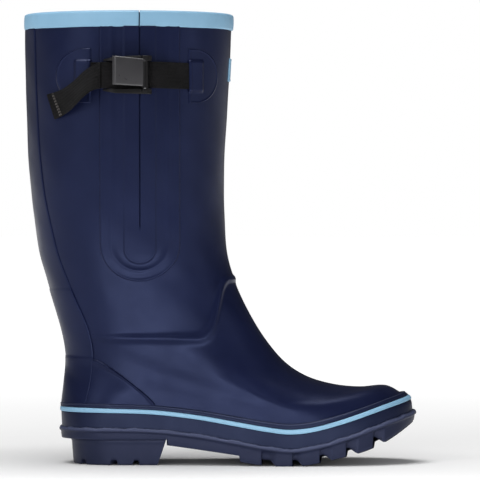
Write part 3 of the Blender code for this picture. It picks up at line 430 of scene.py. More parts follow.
def surface(
    name, dark, light, rough, grain, patch=17.0, marked=None, coat=0.0, sheen=0.0, metallic=0.0, shine=0.5,
    tint=(1.0, 1.0, 1.0), weave=None,
):
    """A procedural material: two tones in soft patches, uneven roughness, and bumps of several sizes.

    Grain is a row of (noise scale, depth in millimetres). Marked is the colour that the mesh's marks bring
    in: on the webbing the hem's stitches, on the rubber painted highlights and painted shade. Weave is a
    function of the tree and the place that gives a height and a painted shade that darkens its low places.
    """
    made = bpy.data.materials.new(name)
    made.use_nodes = True
    tree = made.node_tree
    shader = tree.nodes["Principled BSDF"]
    place = node(tree, "TexCoord").outputs["Object"]
    tone = noise(tree, place, patch, 4.0, 0.6)
    colour = blended(tree, between(tree, tone, 0.0, 1.0), dark, light)
    speck = noise(tree, place, SPECK_SCALE, 2.0)
    colour = blended(tree, between(tree, speck, 0.0, SPECK_SHARE), colour, light)
    if weave:
        height, shade = weave(tree, place)
        # The weave's shade paints the colour darker in its low places: painted shade.
        colour = blended(tree, shade, dark, colour)
    if marked:
        # The marks bring in painted highlights and painted shade on the rubber, and the stitch colour on the
        # webbing.
        mark = node(tree, "Attribute", attribute_name="mark").outputs["Fac"]
        colour = blended(tree, mark, colour, marked)
    tree.links.new(colour, shader.inputs["Base Color"])
    rough_noise = noise(tree, place, patch * ROUGH_PATCH, 5.0, 0.65)
    roughness = between(tree, rough_noise, rough - ROUGH_BELOW, rough + ROUGH_ABOVE)
    tree.links.new(roughness, shader.inputs["Roughness"])
    shader.inputs["Metallic"].default_value = metallic
    shader.inputs["Specular IOR Level"].default_value = shine
    shader.inputs["Specular Tint"].default_value = (*tint, 1.0)
    shader.inputs["Coat Weight"].default_value = coat
    shader.inputs["Coat Roughness"].default_value = COAT_ROUGHNESS
    shader.inputs["Sheen Weight"].default_value = sheen
    normal = None
    for scale, depth in grain:
        normal = bumped(tree, noise(tree, place, scale, 3.0), depth, normal)
    if weave:
        normal = bumped(tree, height, WEAVE_DEPTH, normal)
    tree.links.new(normal, shader.inputs["Normal"])
    return made


def sine(tree, value, period):
    """A sine wave from 0 to 1 along a value, with a period in its unit."""
    wave = maths(tree, "SINE", maths(tree, "MULTIPLY", value, TURN / period))
    return maths(tree, "MULTIPLY_ADD", wave, 0.5, 0.5)


def ribbed_weave(tree, place):
    """Webbing: slanting picks across each rib. The UV map is the length and width in millimetres."""
    uv = node(tree, "SeparateXYZ", {0: node(tree, "TexCoord").outputs["UV"]}).outputs
    across = sine(tree, uv[1], STRAP_WIDTH / RIBS)
    picks = sine(tree, maths(tree, "MULTIPLY_ADD", across, PICK_LEAN, uv[0]), PICK_LENGTH)
    both = maths(tree, "MULTIPLY", picks, across)
    # The shade that this returns darkens the hollows between picks and ribs: painted shade.
    return picks, mapped(tree, both, 0.0, 1.0, 0.45, 1.0)


def knit(tree, place):
    """A fine jersey: wales up the leg, and courses across."""
    axes = node(tree, "SeparateXYZ", {0: place}).outputs
    wales = sine(tree, maths(tree, "ADD", axes[0], axes[1]), WALE)
    courses = sine(tree, maths(tree, "MULTIPLY_ADD", wales, COURSE_LEAN, axes[2]), COURSE)
    both = maths(tree, "MULTIPLY", wales, courses)
    # The shade that this returns darkens the knit's low places: painted shade.
    return both, mapped(tree, both, 0.0, 1.0, 0.7, 1.0)


# The navy's mark colour is near black: it paints shade into the gusset's slit.
NAVY = surface(
    "navy_rubber", (0.0043, 0.0061, 0.0222), (0.0070, 0.0097, 0.0336), 0.34,
    ((1100.0, 0.016), (160.0, 0.05)), marked=(0.003, 0.004, 0.009), shine=0.29, tint=(0.42, 0.52, 1.0),
)
# The sole's mark colour is lighter: painted highlights on the lip, the lugs' faces, and the heel's ridges and
# edges.
SOLE = surface(
    "sole_rubber", (0.0062, 0.0084, 0.0240), (0.0110, 0.0148, 0.0370), 0.44,
    ((1400.0, 0.03), (220.0, 0.08)), marked=(0.060, 0.070, 0.125), shine=0.34, tint=(0.6, 0.65, 1.0),
)
# The foxing's mark colour is a lighter navy: a painted highlight line along the band's top edge.
FOXING = surface(
    "foxing_rubber", (0.0050, 0.0070, 0.0230), (0.0095, 0.0130, 0.0350), 0.42,
    ((1300.0, 0.02), (200.0, 0.06)), marked=(0.060, 0.070, 0.125), shine=0.28, tint=(0.5, 0.6, 1.0),
)
BLUE = surface(
    "light_blue_rubber", (0.195, 0.372, 0.530), (0.245, 0.447, 0.620), 0.46,
    ((1200.0, 0.02), (150.0, 0.05)), marked=(0.10, 0.20, 0.29), shine=0.35,
)
WEBBING = surface(
    "black_webbing", (0.0022, 0.0021, 0.0023), (0.0125, 0.0115, 0.0130), 0.75, ((2500.0, 0.05),),
    patch=60.0, marked=(0.24, 0.22, 0.21), sheen=0.02, weave=ribbed_weave, shine=0.12,
)
PLASTIC = surface(
    "black_plastic", (0.0022, 0.0021, 0.0026), (0.0042, 0.0040, 0.0050), 0.36,
    ((1500.0, 0.006), (90.0, 0.02)), patch=40.0, shine=0.22,
)
# A lighter copy of the black plastic for the lever's plate: its coat's gloss is real, its lighter colour is a
# painted highlight.
LEVER_PLASTIC_PAINTED_LIGHTER = surface(
    "lever_plastic_painted_lighter", (0.0120, 0.0115, 0.0140), (0.0200, 0.0190, 0.0230), 0.30,
    ((1500.0, 0.005), (70.0, 0.03)), patch=40.0, coat=0.5,
)
STEEL = surface(
    "steel", (0.45, 0.45, 0.47), (0.60, 0.60, 0.62), 0.30, ((2200.0, 0.01),), patch=90.0, metallic=1.0,
)
COTTON = surface(
    "cotton_lining", (0.42, 0.41, 0.39), (0.66, 0.65, 0.62), 0.92, ((900.0, 0.08),), patch=25.0,
    sheen=0.3, weave=knit,
)
FOAM = surface(
    "footbed_foam", (0.040, 0.048, 0.085), (0.075, 0.088, 0.140), 0.93, ((1500.0, 0.12),),
    patch=30.0, sheen=0.4, weave=knit,
)
BOARD = surface("fibre_board", (0.33, 0.23, 0.14), (0.46, 0.34, 0.21), 0.88, ((1600.0, 0.06),), patch=120.0)
CORK = surface("cork_filler", (0.28, 0.19, 0.11), (0.52, 0.39, 0.25), 0.92, ((700.0, 0.15),), patch=260.0)
HIDDEN = {
    "insole_board": BOARD,
    "heel_filler": CORK,
    "forefoot_filler": CORK,
    "shank": STEEL,
    "gusset_bellows": NAVY,
}
for cad_name, cad_finish in HIDDEN.items():
    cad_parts[cad_name].data.materials.clear()
    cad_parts[cad_name].data.materials.append(cad_finish)


# The upper


def gusset_edges(x, z):
    """Distances inwards from the outer U and the inner U of the gusset."""
    across = x - GUSSET_X
    found = []
    for half, low in ((GUSSET_HALF_WIDTH, GUSSET_BOTTOM), (INNER_HALF_WIDTH, INNER_BOTTOM)):
        found.append(half - np.hypot(across, np.minimum(z - (low + half), 0.0)))
    return found


def slit_share(x, z):
    """1 in the slit, 0 beside it."""
    return (1 - smooth(np.abs(x - GUSSET_X) / 0.65)) * smooth((z - SLIT_BOTTOM + 2) / 5)


def sway(level, angle):
    """The slow unevenness of hand-laid rubber."""
    return (
        0.16 * np.sin(3 * angle + 23 * level)
        + 0.12 * np.sin(7 * angle - 31 * level + 1.3)
        + 0.09 * np.sin(11 * angle + 57 * level + 0.4)
    )


def upper_height(level, angle):
    """The upper's own relief: the leg lies over the vamp along a soft ridge."""
    apart = level - seam_level(angle)
    over = smooth(apart / 0.007 + 0.5)
    ridge = peak(apart, -0.004, 0.0080) * (0.35 + 0.65 * smooth((np.cos(angle) + 0.75) / 0.5))
    return 0.10 + 0.30 * over + 1.50 * ridge + 0.8 * sway(level, angle)


def upper():
    foot, ankle = np.linspace(0.055, 0.30, 150), np.linspace(0.3015, 0.44, 120)
    leg = np.linspace(0.443, 1.0, 190)[:-2]
    level = join(foot, ankle, leg, leg_level(BOOT_HEIGHT - 1.6))[:, None]
    slit_angle = outer_place(GUSSET_X, 250.0)[1]
    near = np.linspace(-0.045, 0.045, 50)
    plain = np.linspace(0, TURN, 340, endpoint=False)
    plain = plain[np.abs(plain - slit_angle) > 0.05]
    angle = np.sort(join(plain, slit_angle + near))[None, :]
    points = base(level, angle)
    slit = slit_share(points[..., 0], points[..., 2]) * (points[..., 1] < 0)
    height = upper_height(level, angle) - 1.6 * slit
    # The slit is also painted darker with the navy's mark colour: painted shade in the slit.
    grid_piece(
        "upper", skin(level, angle, height), NAVY, wrap=True, nodes=("leg", "vamp"), slot="navy_rubber",
        marks=slit * 0.45,
    )


def gusset_surround():
    top = BOOT_HEIGHT - BINDING_WIDTH + 0.6
    radius = GUSSET_HALF_WIDTH
    low = GUSSET_BOTTOM + radius * (1 - np.cos(np.linspace(0.09, np.pi / 2, 60)))
    z = join(low, np.linspace(GUSSET_BOTTOM + radius, top, 190)[1:])[:, None]
    half = np.sqrt(radius**2 - np.minimum(z - (GUSSET_BOTTOM + radius), 0.0) ** 2)
    rim = clustered(-1.0, -0.42, 26)
    beside, near = np.linspace(-0.41, -0.07, 22), np.linspace(-0.065, 0.065, 27)
    share = join(rim, beside, near, -beside[::-1], -rim[::-1])[None, :]
    x = GUSSET_X + half * share
    outer, inside = gusset_edges(x, z)
    level, angle = outer_place(x, z)
    relief = 0.55 * shoulder(outer, 1.6) + 0.22 * peak(outer, 1.3, 0.9)
    relief += 0.62 * smooth((inside + 0.7) / 1.8) + 0.18 * peak(inside, 0.9, 0.8)
    relief += (0.30 * peak(outer, 9.0, 1.3) - 0.30 * peak(outer, 13.0, 2.6)) * smooth(outer / 4)
    slit = slit_share(x, z)
    height = upper_height(level, angle) + 0.25 + relief - 1.1 * slit
    # The slit is painted darker here too: painted shade in the slit.
    overlay(
        "gusset_surround_skin", level, angle, height, NAVY, nodes=("gusset_surround",), slot="navy_rubber",
        marks=np.pad(slit, 1) * 0.3,
    )


def back_stay():
    low, high = FOXING_TOP - 0.004, leg_level(BOOT_HEIGHT - BINDING_WIDTH + 0.6)
    level = np.linspace(low, high, 330)[:, None]
    reach = np.radians(curve(STAY_EDGE, level))
    share = clustered(-1, 1, 64, 1.8)[None, :]
    angle = np.pi + reach * share
    width = np.linalg.norm(base(level, np.pi + reach) - base(level, np.pi + reach * 0.98), axis=-1) / 0.02
    edge = width * (1 - np.abs(share))
    foot = base(np.array(FOXING_TOP), np.array(np.pi))[2]
    counter_top = level_at_height(foot + COUNTER_TOP, np.array(np.pi))
    low_part = 1 - smooth((level - counter_top + 0.002) / 0.014)
    height = 0.80 + 0.8 * sway(level, angle) + 0.38 * shoulder(edge, 1.8) * (1 - low_part) + 0.62 * low_part
    height += 0.45 * smooth((STAY_LAP - base(level, angle)[..., 2]) / 0.8)
    overlay("back_stay_skin", level, angle, height, NAVY, nodes=("back_stay",), slot="navy_rubber")


def heel_counter():
    low = FOXING_TOP - 0.004
    foot = base(np.array(FOXING_TOP), np.array(np.pi))[2]
    reach_x = COUNTER_CENTRE_X + COUNTER_REACH * 0.99
    back, front = curve(SECTIONS, low, 1), curve(SECTIONS, low, 3)
    end = np.arccos(2 * (reach_x - back) / (front - back) - 1)
    angle = np.pi + (np.pi - end) * np.linspace(-1, 1, 210)
    reach = np.clip((base(low, angle)[..., 0] - COUNTER_CENTRE_X) / COUNTER_REACH, 0.0, 1.0)
    top = level_at_height(foot + COUNTER_TOP * (1 - reach**COUNTER_ARCH), angle)
    share = (1 - (1 - np.linspace(0, 1, 46)) ** 1.7)[:, None]
    level = mix(low, np.maximum(top, low + 0.002)[None, :], share)
    edge = (top[None, :] - level) * LEVEL_MM
    ends = np.abs(np.abs(angle - np.pi) - (np.pi - end))[None, :] * 60
    height = upper_height(level, angle[None, :]) + 0.2
    height += 0.85 * shoulder(np.minimum(edge, ends), 3.0) + 0.75 * peak(edge, 3.0, 2.2)
    overlay(
        "heel_counter_skin", level, angle[None, :], height, NAVY, nodes=("heel_counter",), slot="navy_rubber",
    )


def strap_patch(name, node_name, direction):
    """A D-shaped patch. The webbing's end makes a flat-topped bump under it."""
    edge_x = GUSSET_X + direction * PATCH_EDGE
    rows = clustered(-1, 1, 84, 1.5) * (PATCH_HALF_HEIGHT - 0.05)
    share = clustered(0, 1, 70, 1.5)
    levels, angles, heights = [], [], []
    for dz in rows:
        bulge = np.sqrt(max(0.0, 1 - (dz / PATCH_HALF_HEIGHT) ** 2))
        reach = max(3.0, PATCH_REACH * bulge**0.8)
        distance = share * reach
        level, angle = outer_walk(edge_x, STRAP_Z + dz, direction * distance)
        rim = np.minimum(distance, (reach - distance) * (0.35 + 0.65 * bulge))
        rim = np.minimum(rim, (PATCH_HALF_HEIGHT - abs(dz)) * 1.6)
        bump = smooth((STRAP_WIDTH / 2 + 3.0 - abs(dz)) / 2.6) * smooth((STRAP_HOLD + 3.0 - distance) / 2.8)
        height = upper_height(level, angle) + 0.2 + 0.5 * shoulder(rim, 1.6)
        height += 0.30 * peak(rim, 1.4, 0.8) + 1.75 * bump
        levels.append(level)
        angles.append(angle)
        heights.append(height)
    overlay(
        name, np.array(levels), np.array(angles), np.array(heights), NAVY, nodes=(node_name,),
        slot="navy_rubber", flip=direction < 0,
    )


def front_badge():
    """A plain raised label."""
    z = np.linspace(BADGE_LOW, BADGE_LOW + BADGE_HEIGHT, 40)[:, None]
    level = leg_level(z)
    across = np.linspace(-BADGE_HALF_WIDTH, BADGE_HALF_WIDTH, 40)[None, :]
    angle = across / base(level, np.pi / 2)[..., 1]
    edge_z = np.minimum(z - BADGE_LOW, BADGE_LOW + BADGE_HEIGHT - z)
    edge = np.minimum(BADGE_HALF_WIDTH - np.abs(across), edge_z)
    height = upper_height(level, angle) + 0.1 + 1.1 * shoulder(edge, 1.0) - 0.3 * smooth((edge - 1.6) / 0.5)
    overlay("front_badge_label", level, angle, height, BLUE, nodes=("front_badge",), slot="light_blue_rubber")


def rim_binding():
    """The tape folded over the rim, from one side of the slit to the other."""
    z_out = np.linspace(BOOT_HEIGHT - BINDING_WIDTH, BOOT_HEIGHT - 1.9, 22)
    rise = (z_out - z_out[0]) / (z_out[-1] - z_out[0])
    puff = 0.85 + 0.75 * shoulder(rise * 12, 1.5) + 0.3 * np.sin(np.pi * rise)
    over = np.linspace(np.pi / 2, -np.pi / 2, 13)[1:-1]
    outer, inner = puff[-1], -5.3
    middle, half = (outer + inner) / 2, (outer - inner) / 2
    z_in = np.linspace(BOOT_HEIGHT - 1.9, BOOT_HEIGHT - BINDING_WIDTH + 1, 12)
    z = join(z_out[0], z_out, BOOT_HEIGHT - 1.9 + 1.9 * np.cos(over), z_in)
    offset = join(-0.4, puff, middle + half * np.sin(over), np.full(len(z_in), inner))
    offset[-1] = -3.2
    slit = outer_place(GUSSET_X, BOOT_HEIGHT)[1]
    gap = 0.35 / 60
    angle = np.linspace(slit + gap, slit + TURN - gap, 380)[None, :]
    level = np.minimum(leg_level(z), 1.0)[:, None]
    wave = 0.10 * np.sin(17 * angle + 2.0) + 0.06 * np.sin(41 * angle)
    points = skin(level, angle, offset[:, None] + wave * (z[:, None] > BOOT_HEIGHT - BINDING_WIDTH + 0.1))
    points[..., 2] = z[:, None] + 0.12 * np.sin(9 * angle) * (z[:, None] < BOOT_HEIGHT - 11)
    ends = points.mean(axis=0)
    start, stop = (mix(points[:, [i]], ends[i], 0.9) for i in (0, -1))
    points = np.concatenate([start, points, stop], axis=1)
    grid_piece("rim_binding_tape", points, BLUE, nodes=("rim_binding",), slot="light_blue_rubber")


def lining():
    level = join(np.linspace(0.0, 0.985, 200), leg_level(BOOT_HEIGHT - 4.0))[:, None]
    angle = np.linspace(0, TURN, 220, endpoint=False)[None, :]
    points = base(level, angle)
    fold = smooth((FOLD_HALF + 5 - np.abs(points[..., 0] - GUSSET_X)) / 5) * (points[..., 1] < 0)
    fold = fold * smooth((points[..., 2] - 148) / 14)
    depth = -2.75 - 2.9 * fold + 0.25 * np.sin(5 * angle + 40 * level) * smooth((level - 0.1) / 0.1)
    grid_piece(
        "lining_cloth", skin(level, angle, depth), COTTON, wrap=True, flip=True, nodes=("lining",),
        slot="cotton_lining",
    )


# Foxing and sole


def foxing():
    level = np.linspace(0.0, FOXING_TOP, 62)
    under = level < STRIPE_LOW - 0.0012
    height = np.where(under, 1.45, 2.2)
    channel = (level > STRIPE_LOW - 0.0012) & (level < STRIPE_HIGH + 0.0012)
    height = np.where(channel, 1.15, height)
    height = height - 1.6 * (1 - shoulder((FOXING_TOP - level) * LEVEL_MM, 1.6))
    height += 0.3 * peak(level, 0.0745, 0.0018)
    # Painted highlight: a light line along the band's top edge.
    mark = 0.45 * peak(level, 0.0758, 0.0012)
    level = join(0.0, level, FOXING_TOP)[:, None]
    height = join(-0.5, height, -0.4)[:, None]
    mark = join(0.0, mark, 0.0)[:, None]
    angle = np.linspace(0, TURN, 460, endpoint=False)[None, :]
    height = height + 0.08 * np.sin(23 * angle) * (height > 0)
    grid_piece(
        "foxing_band", skin(level, angle, height), FOXING, wrap=True, nodes=("foxing",), slot="navy_rubber",
        marks=np.broadcast_to(mark, height.shape),
    )
    share = np.linspace(0, np.pi, 11)
    level = mix(STRIPE_LOW, STRIPE_HIGH, (1 - np.cos(share)) / 2)[:, None]
    height = (1.1 + 1.35 * np.sin(share) ** 0.45)[:, None] + 0.05 * np.sin(31 * angle)
    grid_piece(
        "foxing_stripe_band", skin(level, angle, height), BLUE, wrap=True, nodes=("foxing_stripe",),
        slot="light_blue_rubber",
    )


def between_lugs(x):
    """1 in the gaps between the forefoot's lugs, 0 on a lug and behind the first."""
    gap = smooth((x - (LUGS[0][0] * TOE_REACH - LUG_DRAFT)) / 0.1)
    for start, end in LUGS:
        start, end = start * TOE_REACH, end * TOE_REACH
        on = smooth((x - start + LUG_DRAFT) / LUG_DRAFT) * (1 - smooth((x - end) / LUG_DRAFT))
        gap = gap * (1 - on)
    return gap


def waist_height(x):
    start, end = HEEL_BREAST, LUGS[0][0] * TOE_REACH
    return mix(WAIST_HEIGHT, tread_line(end) + TREAD_DEPTH, (x - start) / (end - start))


def sole_bottom(x):
    """The sole's underside at its edge."""
    first = LUGS[0][0] * TOE_REACH
    forefoot = tread_line(x) + TREAD_DEPTH * between_lugs(x)
    height = np.where(x < first - LUG_DRAFT, waist_height(x), forefoot)
    drop = smooth((x - first + LUG_DRAFT) / LUG_DRAFT)
    step = mix(waist_height(x), tread_line(x), drop)
    height = np.where((x > first - LUG_DRAFT) & (x < first), step, height)
    return np.where(x < HEEL_BREAST + 0.5, SOLE_UNDERSIDE_HEEL, height)


def sole_outline(inset, turn):
    """(x, y) round the sole's outline, moved in by an inset."""
    back, front = inset - HEEL_REACH, TOE_REACH - inset
    x = mix(back, front, (1 + np.cos(turn)) / 2)
    closing = rounded(x, back, front, HEEL_HALF_WIDTH - inset, TOE_ROUND - inset)
    side = np.where(np.sin(turn) >= 0, 1.0, -1.0)
    return x, sole_centre(x) + side * (sole_half_width(x) - inset) * closing


def tread_relief(x, across, edge):
    """How far the lugs' faces stand back between their ribs: zigzag rows, with dashes by the edges."""
    tri = np.abs((across / 5.6) % 1.0 - 0.5) * 2
    row = (x / 3.3 + 0.55 * tri) % 1.0
    zigzag = smooth((np.abs(row - 0.5) - 0.16) / 0.14)
    dash = smooth((np.abs((across / 3.0) % 1.0 - 0.5) - 0.28) / 0.12)
    near_edge = 1 - smooth((edge - 6.0) / 1.2)
    stud_y = ((across / 3.6) + 0.5 * np.floor(x / 3.6)) % 1.0 - 0.5
    studs = 1 - smooth((0.34 - np.hypot((x / 3.6) % 1.0 - 0.5, stud_y)) / 0.1)
    tip = smooth((x - 0.945 * TOE_REACH) / 2.0)
    face = np.maximum(zigzag, near_edge * dash)
    return mix(face, studs, tip)


def outsole():
    turn = np.linspace(0, TURN, 1000, endpoint=False)[None, :]
    middle_x = sole_outline(0.0, turn)[0]
    top, bottom = feather(middle_x) - 0.15, sole_bottom(middle_x)
    wall = np.maximum(top - bottom, 3.0)
    gap = between_lugs(middle_x) * (middle_x > LUGS[0][1] * TOE_REACH)
    wavy = 0.30 * np.sin(31 * turn) + 0.22 * np.sin(57 * turn + 1.0) * np.sin(5 * turn)
    wavy = wavy + 0.1 * np.sin(140 * turn)
    profile = (
        # inset, drop from the top edge, share of the wall below the lip, share of a notch, painted highlight
        (4.5, 0.0, 0.0, 0.0, 0.0),
        (1.5, -0.45, 0.0, 0.0, 0.25),
        (0.5, -0.35, 0.0, 0.0, 0.55),
        (-0.25, 0.15, 0.0, 0.0, 0.9),
        (-0.70, 0.9, 0.0, 0.0, 0.8),
        (-0.95, 1.6, 0.0, 0.0, 0.35),
        (-0.75, 2.5, 0.0, 0.0, 0.10),
        (-0.1, 3.0, 0.0, 0.0, 0.0),
        (0.35, SOLE_LIP, 0.05, 0.0, 0.0),
        (0.45, SOLE_LIP, 0.16, 1.0, 0.0),
        (0.55, SOLE_LIP, 0.45, 1.0, 0.0),
        (0.75, SOLE_LIP, 0.75, 1.0, 0.0),
        (0.95, SOLE_LIP, 0.95, 1.0, 0.15),
        (1.25, SOLE_LIP, 1.0, 1.0, 0.3),
        (2.6, 2.7, 1.0, 0.9, 0.0),
    )
    # The last column paints highlights along the lip's rounded top, and faintly near the wall's lower edge.
    rows, marks = [], []
    for inset, drop, down, notch, light in profile:
        step = np.where(wall > 3.2, 1.0, 0.55)
        x, y = sole_outline(inset, turn)
        centre_y = sole_centre(x)
        pull = 1 - 2.1 * notch * gap / BALL_HALF_WIDTH
        x = mix(60.0, x, pull) if notch else x
        y = centre_y + (y - centre_y) * pull
        below = np.maximum(wall - SOLE_LIP, 0.0) * down
        z = top - drop * step - below + (wavy if 0 < light and drop < 1.5 else 0.0)
        if down == 1.0:
            z = bottom + (0.5 if inset > 2 else 0.0)
        rows.append(np.stack([x, y, np.broadcast_to(z, x.shape)], -1)[0])
        marks.append(np.full(x.shape[1], light))
    grid_piece(
        "outsole_wall", np.array(rows), SOLE, wrap=True, flip=True, nodes=("outsole",), slot="sole_rubber",
        marks=np.array(marks),
    )

    inset = 1.35
    t = np.linspace(0, np.pi, 60)
    ends = HEEL_HALF_WIDTH * (1 - np.cos(t / 2))
    x = join(
        inset - HEEL_REACH + ends[1::2],
        np.linspace(-4.5, HEEL_BREAST + 0.4, 12),
        np.linspace(HEEL_BREAST + 0.6, 94.0, 60),
        np.linspace(94.2, 205.0, 260),
        TOE_REACH - inset - (TOE_REACH - inset - 205.3) * np.cos(np.linspace(0, np.pi / 2, 75))[:-1],
    )
    x = np.unique(np.clip(x, inset - HEEL_REACH + 0.05, TOE_REACH - inset - 0.05))[:, None]
    share = clustered(-1, 1, 178, 1.15)[None, :]
    back, front = inset - HEEL_REACH, TOE_REACH - inset
    closing = rounded(x, back, front, HEEL_HALF_WIDTH - inset, TOE_ROUND - inset)
    half = (sole_half_width(x) - inset) * closing
    y = sole_centre(x) + half * share
    edge = half * (1 - np.abs(share))
    gap = between_lugs(x) * np.ones_like(y)
    first = LUGS[0][0] * TOE_REACH
    lug = smooth((x - first + 0.2) / 0.4) * (1 - gap)
    relief = tread_relief(x, y, edge)
    z = sole_bottom(x) + 0.95 * relief * lug * smooth((edge - 0.5) / 0.8)
    stipple = 0.14 * np.sin(5.2 * x) * np.sin(5.2 * y)
    z = z + stipple * gap + 0.35 * peak(edge, 5.0, 1.0) * gap
    line = peak(x, PLATE_BACK - 8.0, 0.5) * (edge > 7)
    z = z - 0.5 * line
    # Painted highlights: the lugs' raised ribs and the raised line across the waist are lighter.
    mark = np.clip(lug * (1 - relief) * 0.35 + line * 0.4, 0, 1)
    points = np.stack([np.broadcast_to(x, y.shape), y, z], -1)
    grid_piece("outsole_tread", points, SOLE, slot="sole_rubber", marks=mark)


def groove_distance(x, y):
    """The distance from the nearest of the heel's grooves."""
    nearest = np.full(np.broadcast(x, y).shape, 99.0)
    for (ax, ay), (bx, by) in HEEL_GROOVES:
        along = np.array([bx - ax, by - ay])
        t = np.clip(((x - ax) * along[0] + (np.abs(y) - ay) * along[1]) / (along @ along), 0, 1)
        apart = np.hypot(x - ax - t * along[0], np.abs(y) - ay - t * along[1])
        nearest = np.minimum(nearest, apart)
    return nearest


def heel_block():
    radius = HEEL_HALF_WIDTH - HEEL_BLOCK_INSET
    arc = np.linspace(np.pi / 2, 1.5 * np.pi, 240)
    side = np.linspace(1, 0, 70)[:-1]

    def outline(inset, breast):
        half, centre = radius - inset, radius - HEEL_BLOCK_BACK
        front = np.linspace(-1, 1, 110)[1:-1]
        flank, across = mix(centre, breast, side), np.full(len(side), half)
        x = join(flank, centre + half * np.cos(arc), flank[::-1], np.full(len(front), breast))
        return x, join(across, half * np.sin(arc), -across, half * front)

    rows, marks = [], []
    top = SOLE_UNDERSIDE_HEEL - 0.3
    ground_x, ground_y = outline(1.5, HEEL_BREAST - HEEL_BREAST_SLOPE)
    notch = HEEL_TREAD_DEPTH * (1 - smooth((groove_distance(ground_x, ground_y) - GROOVE_HALF) / 0.9))
    steps = join([0.0, 0.0, 0.03, 0.07], np.linspace(0.12, 0.97, 9), 1.0)
    for i, share in enumerate(steps):
        inset = mix(1.5, 0.0, share) + (1.6 if i == 0 else 0.45 if i == 1 else 0.1 if i == 2 else 0.0)
        inset -= 0.5 * peak(share, 0.97, 0.03)
        breast = mix(HEEL_BREAST - HEEL_BREAST_SLOPE, HEEL_BREAST, share)
        x, y = outline(inset, breast - (inset if i < 3 else 0) * 0.3)
        z = np.full(x.shape, share * top)
        z = np.maximum(z, notch + (0.7 if i == 0 else 0.0))
        rows.append(np.stack([x, y, z], -1))
        # Painted highlights: lighter on the breast face's middle, and faintly on the rows by the ground edge.
        rear = x > HEEL_BREAST - HEEL_BREAST_SLOPE - 1
        marks.append(np.where(rear & (np.abs(y) < radius - 2), 0.25, 0.06 if 0 < i < 4 else 0.0))
    grid_piece(
        "heel_block_wall", np.array(rows), SOLE, wrap=True, nodes=("heel_block",), slot="sole_rubber",
        marks=np.array(marks),
    )
    front = HEEL_BREAST - HEEL_BREAST_SLOPE - 0.3
    half_here, centre = radius - 1.9, radius - HEEL_BLOCK_BACK
    back = centre - half_here
    round_back = back + half_here * (1 - np.cos(np.linspace(0.03, np.pi / 2, 80)))
    x = join(round_back, np.linspace(centre + 0.4, front, 90))[:, None]
    half = half_here * np.sqrt(np.maximum(0.0, 1 - np.maximum(0.0, (centre - x) / half_here) ** 2))
    share = clustered(-1, 1, 150, 1.15)[None, :]
    y = half * share
    apart = groove_distance(x, y)
    groove = 1 - smooth((apart - GROOVE_HALF) / 0.8)
    edge = np.minimum(half * (1 - np.abs(share)), front - x)
    # Ridge lines beside the grooves and along the edge; the marks below paint them lighter as highlights.
    ridge_with_highlight = peak(apart, 3.1, 0.35) + peak(edge, 0.9, 0.35) * (apart > 3)
    row = np.floor(x / 2.1)
    cell_y = np.abs((y / 4.0 + 0.5 * (row % 2)) % 1 - 0.5)
    cell = np.maximum(np.abs((x / 2.1) % 1 - 0.5), cell_y)
    stud = np.clip((0.46 - cell) / 0.30, 0, 1)
    inside = smooth((apart - 3.6) / 0.5) * smooth((edge - 1.4) / 0.5)
    z = 0.85 - 0.8 * stud * inside - 0.45 * np.clip(ridge_with_highlight, 0, 1)
    z = mix(z, HEEL_TREAD_DEPTH + 0.1 * np.sin(4 * x) * np.sin(4 * y), groove)
    points = np.stack([np.broadcast_to(x, y.shape), y, np.maximum(z, 0.0)], -1)
    # Painted highlights: the ridge lines, and faintly the studs' faces, are lighter.
    mark = np.clip(ridge_with_highlight * 0.75 + stud * inside * 0.18, 0, 1)
    grid_piece("heel_block_tread", points, SOLE, slot="sole_rubber", marks=mark)


def size_plate():
    """A plain plate with a raised frame."""
    t = np.linspace(0, 1, 40)[:, None]
    s = np.linspace(-1, 1, 90)[None, :]
    x = PLATE_BACK + PLATE_LENGTH * t
    y = PLATE_WIDTH / 2 * s
    edge_x = np.minimum(x - PLATE_BACK, PLATE_BACK + PLATE_LENGTH - x)
    edge = np.minimum(edge_x, PLATE_WIDTH / 2 * (1 - np.abs(s)))
    x, y = np.broadcast_arrays(x, y)
    proud = 0.25 + 0.75 * shoulder(edge, 0.6) - 0.4 * smooth((edge - 1.2) / 0.5)
    z = np.pad(waist_height(x) - proud, 1, mode="edge")
    z[[0, -1], :] += 1.5
    z[:, [0, -1]] += 1.5
    points = np.stack([np.pad(x, 1, mode="edge"), np.pad(y, 1, mode="edge"), z], -1)
    grid_piece("size_plate_blank", points, SOLE, nodes=("size_plate",), slot="sole_rubber")


def footbed():
    low, high = (v / MM for v in (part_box("footbed")[0][0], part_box("footbed")[1][0]))
    inset = low + HEEL_REACH
    heel = low + 30 * (1 - np.cos(np.linspace(0.06, np.pi / 2, 30)))
    toe = high - 38 * np.cos(np.linspace(0, np.pi / 2 - 0.05, 40))
    x = np.unique(join(heel, np.linspace(low + 33, high - 40, 70), toe))[:, None]
    closing = rounded(x, low, high, HEEL_HALF_WIDTH - inset, TOE_ROUND - inset)
    half = (sole_half_width(x) - inset) * closing - 0.1
    share = clustered(-1, 1, 70, 1.3)[None, :]
    y = sole_centre(x) + half * share
    edge = half * (1 - np.abs(share))
    hollow = np.exp(-((x / 30) ** 2) - (y / 25) ** 2)
    z = feather(x) + FOOTBED_LIFT + 4.0 * shoulder(edge, 3.0) + 0.5 * np.cos(x / 40) - 0.8 * hollow
    points = np.stack([np.broadcast_to(x, y.shape), y, z], -1)
    obj = grid_piece("footbed_pad", points, FOAM, nodes=("footbed",), slot="footbed_foam", flip=True)


# Strap and buckle


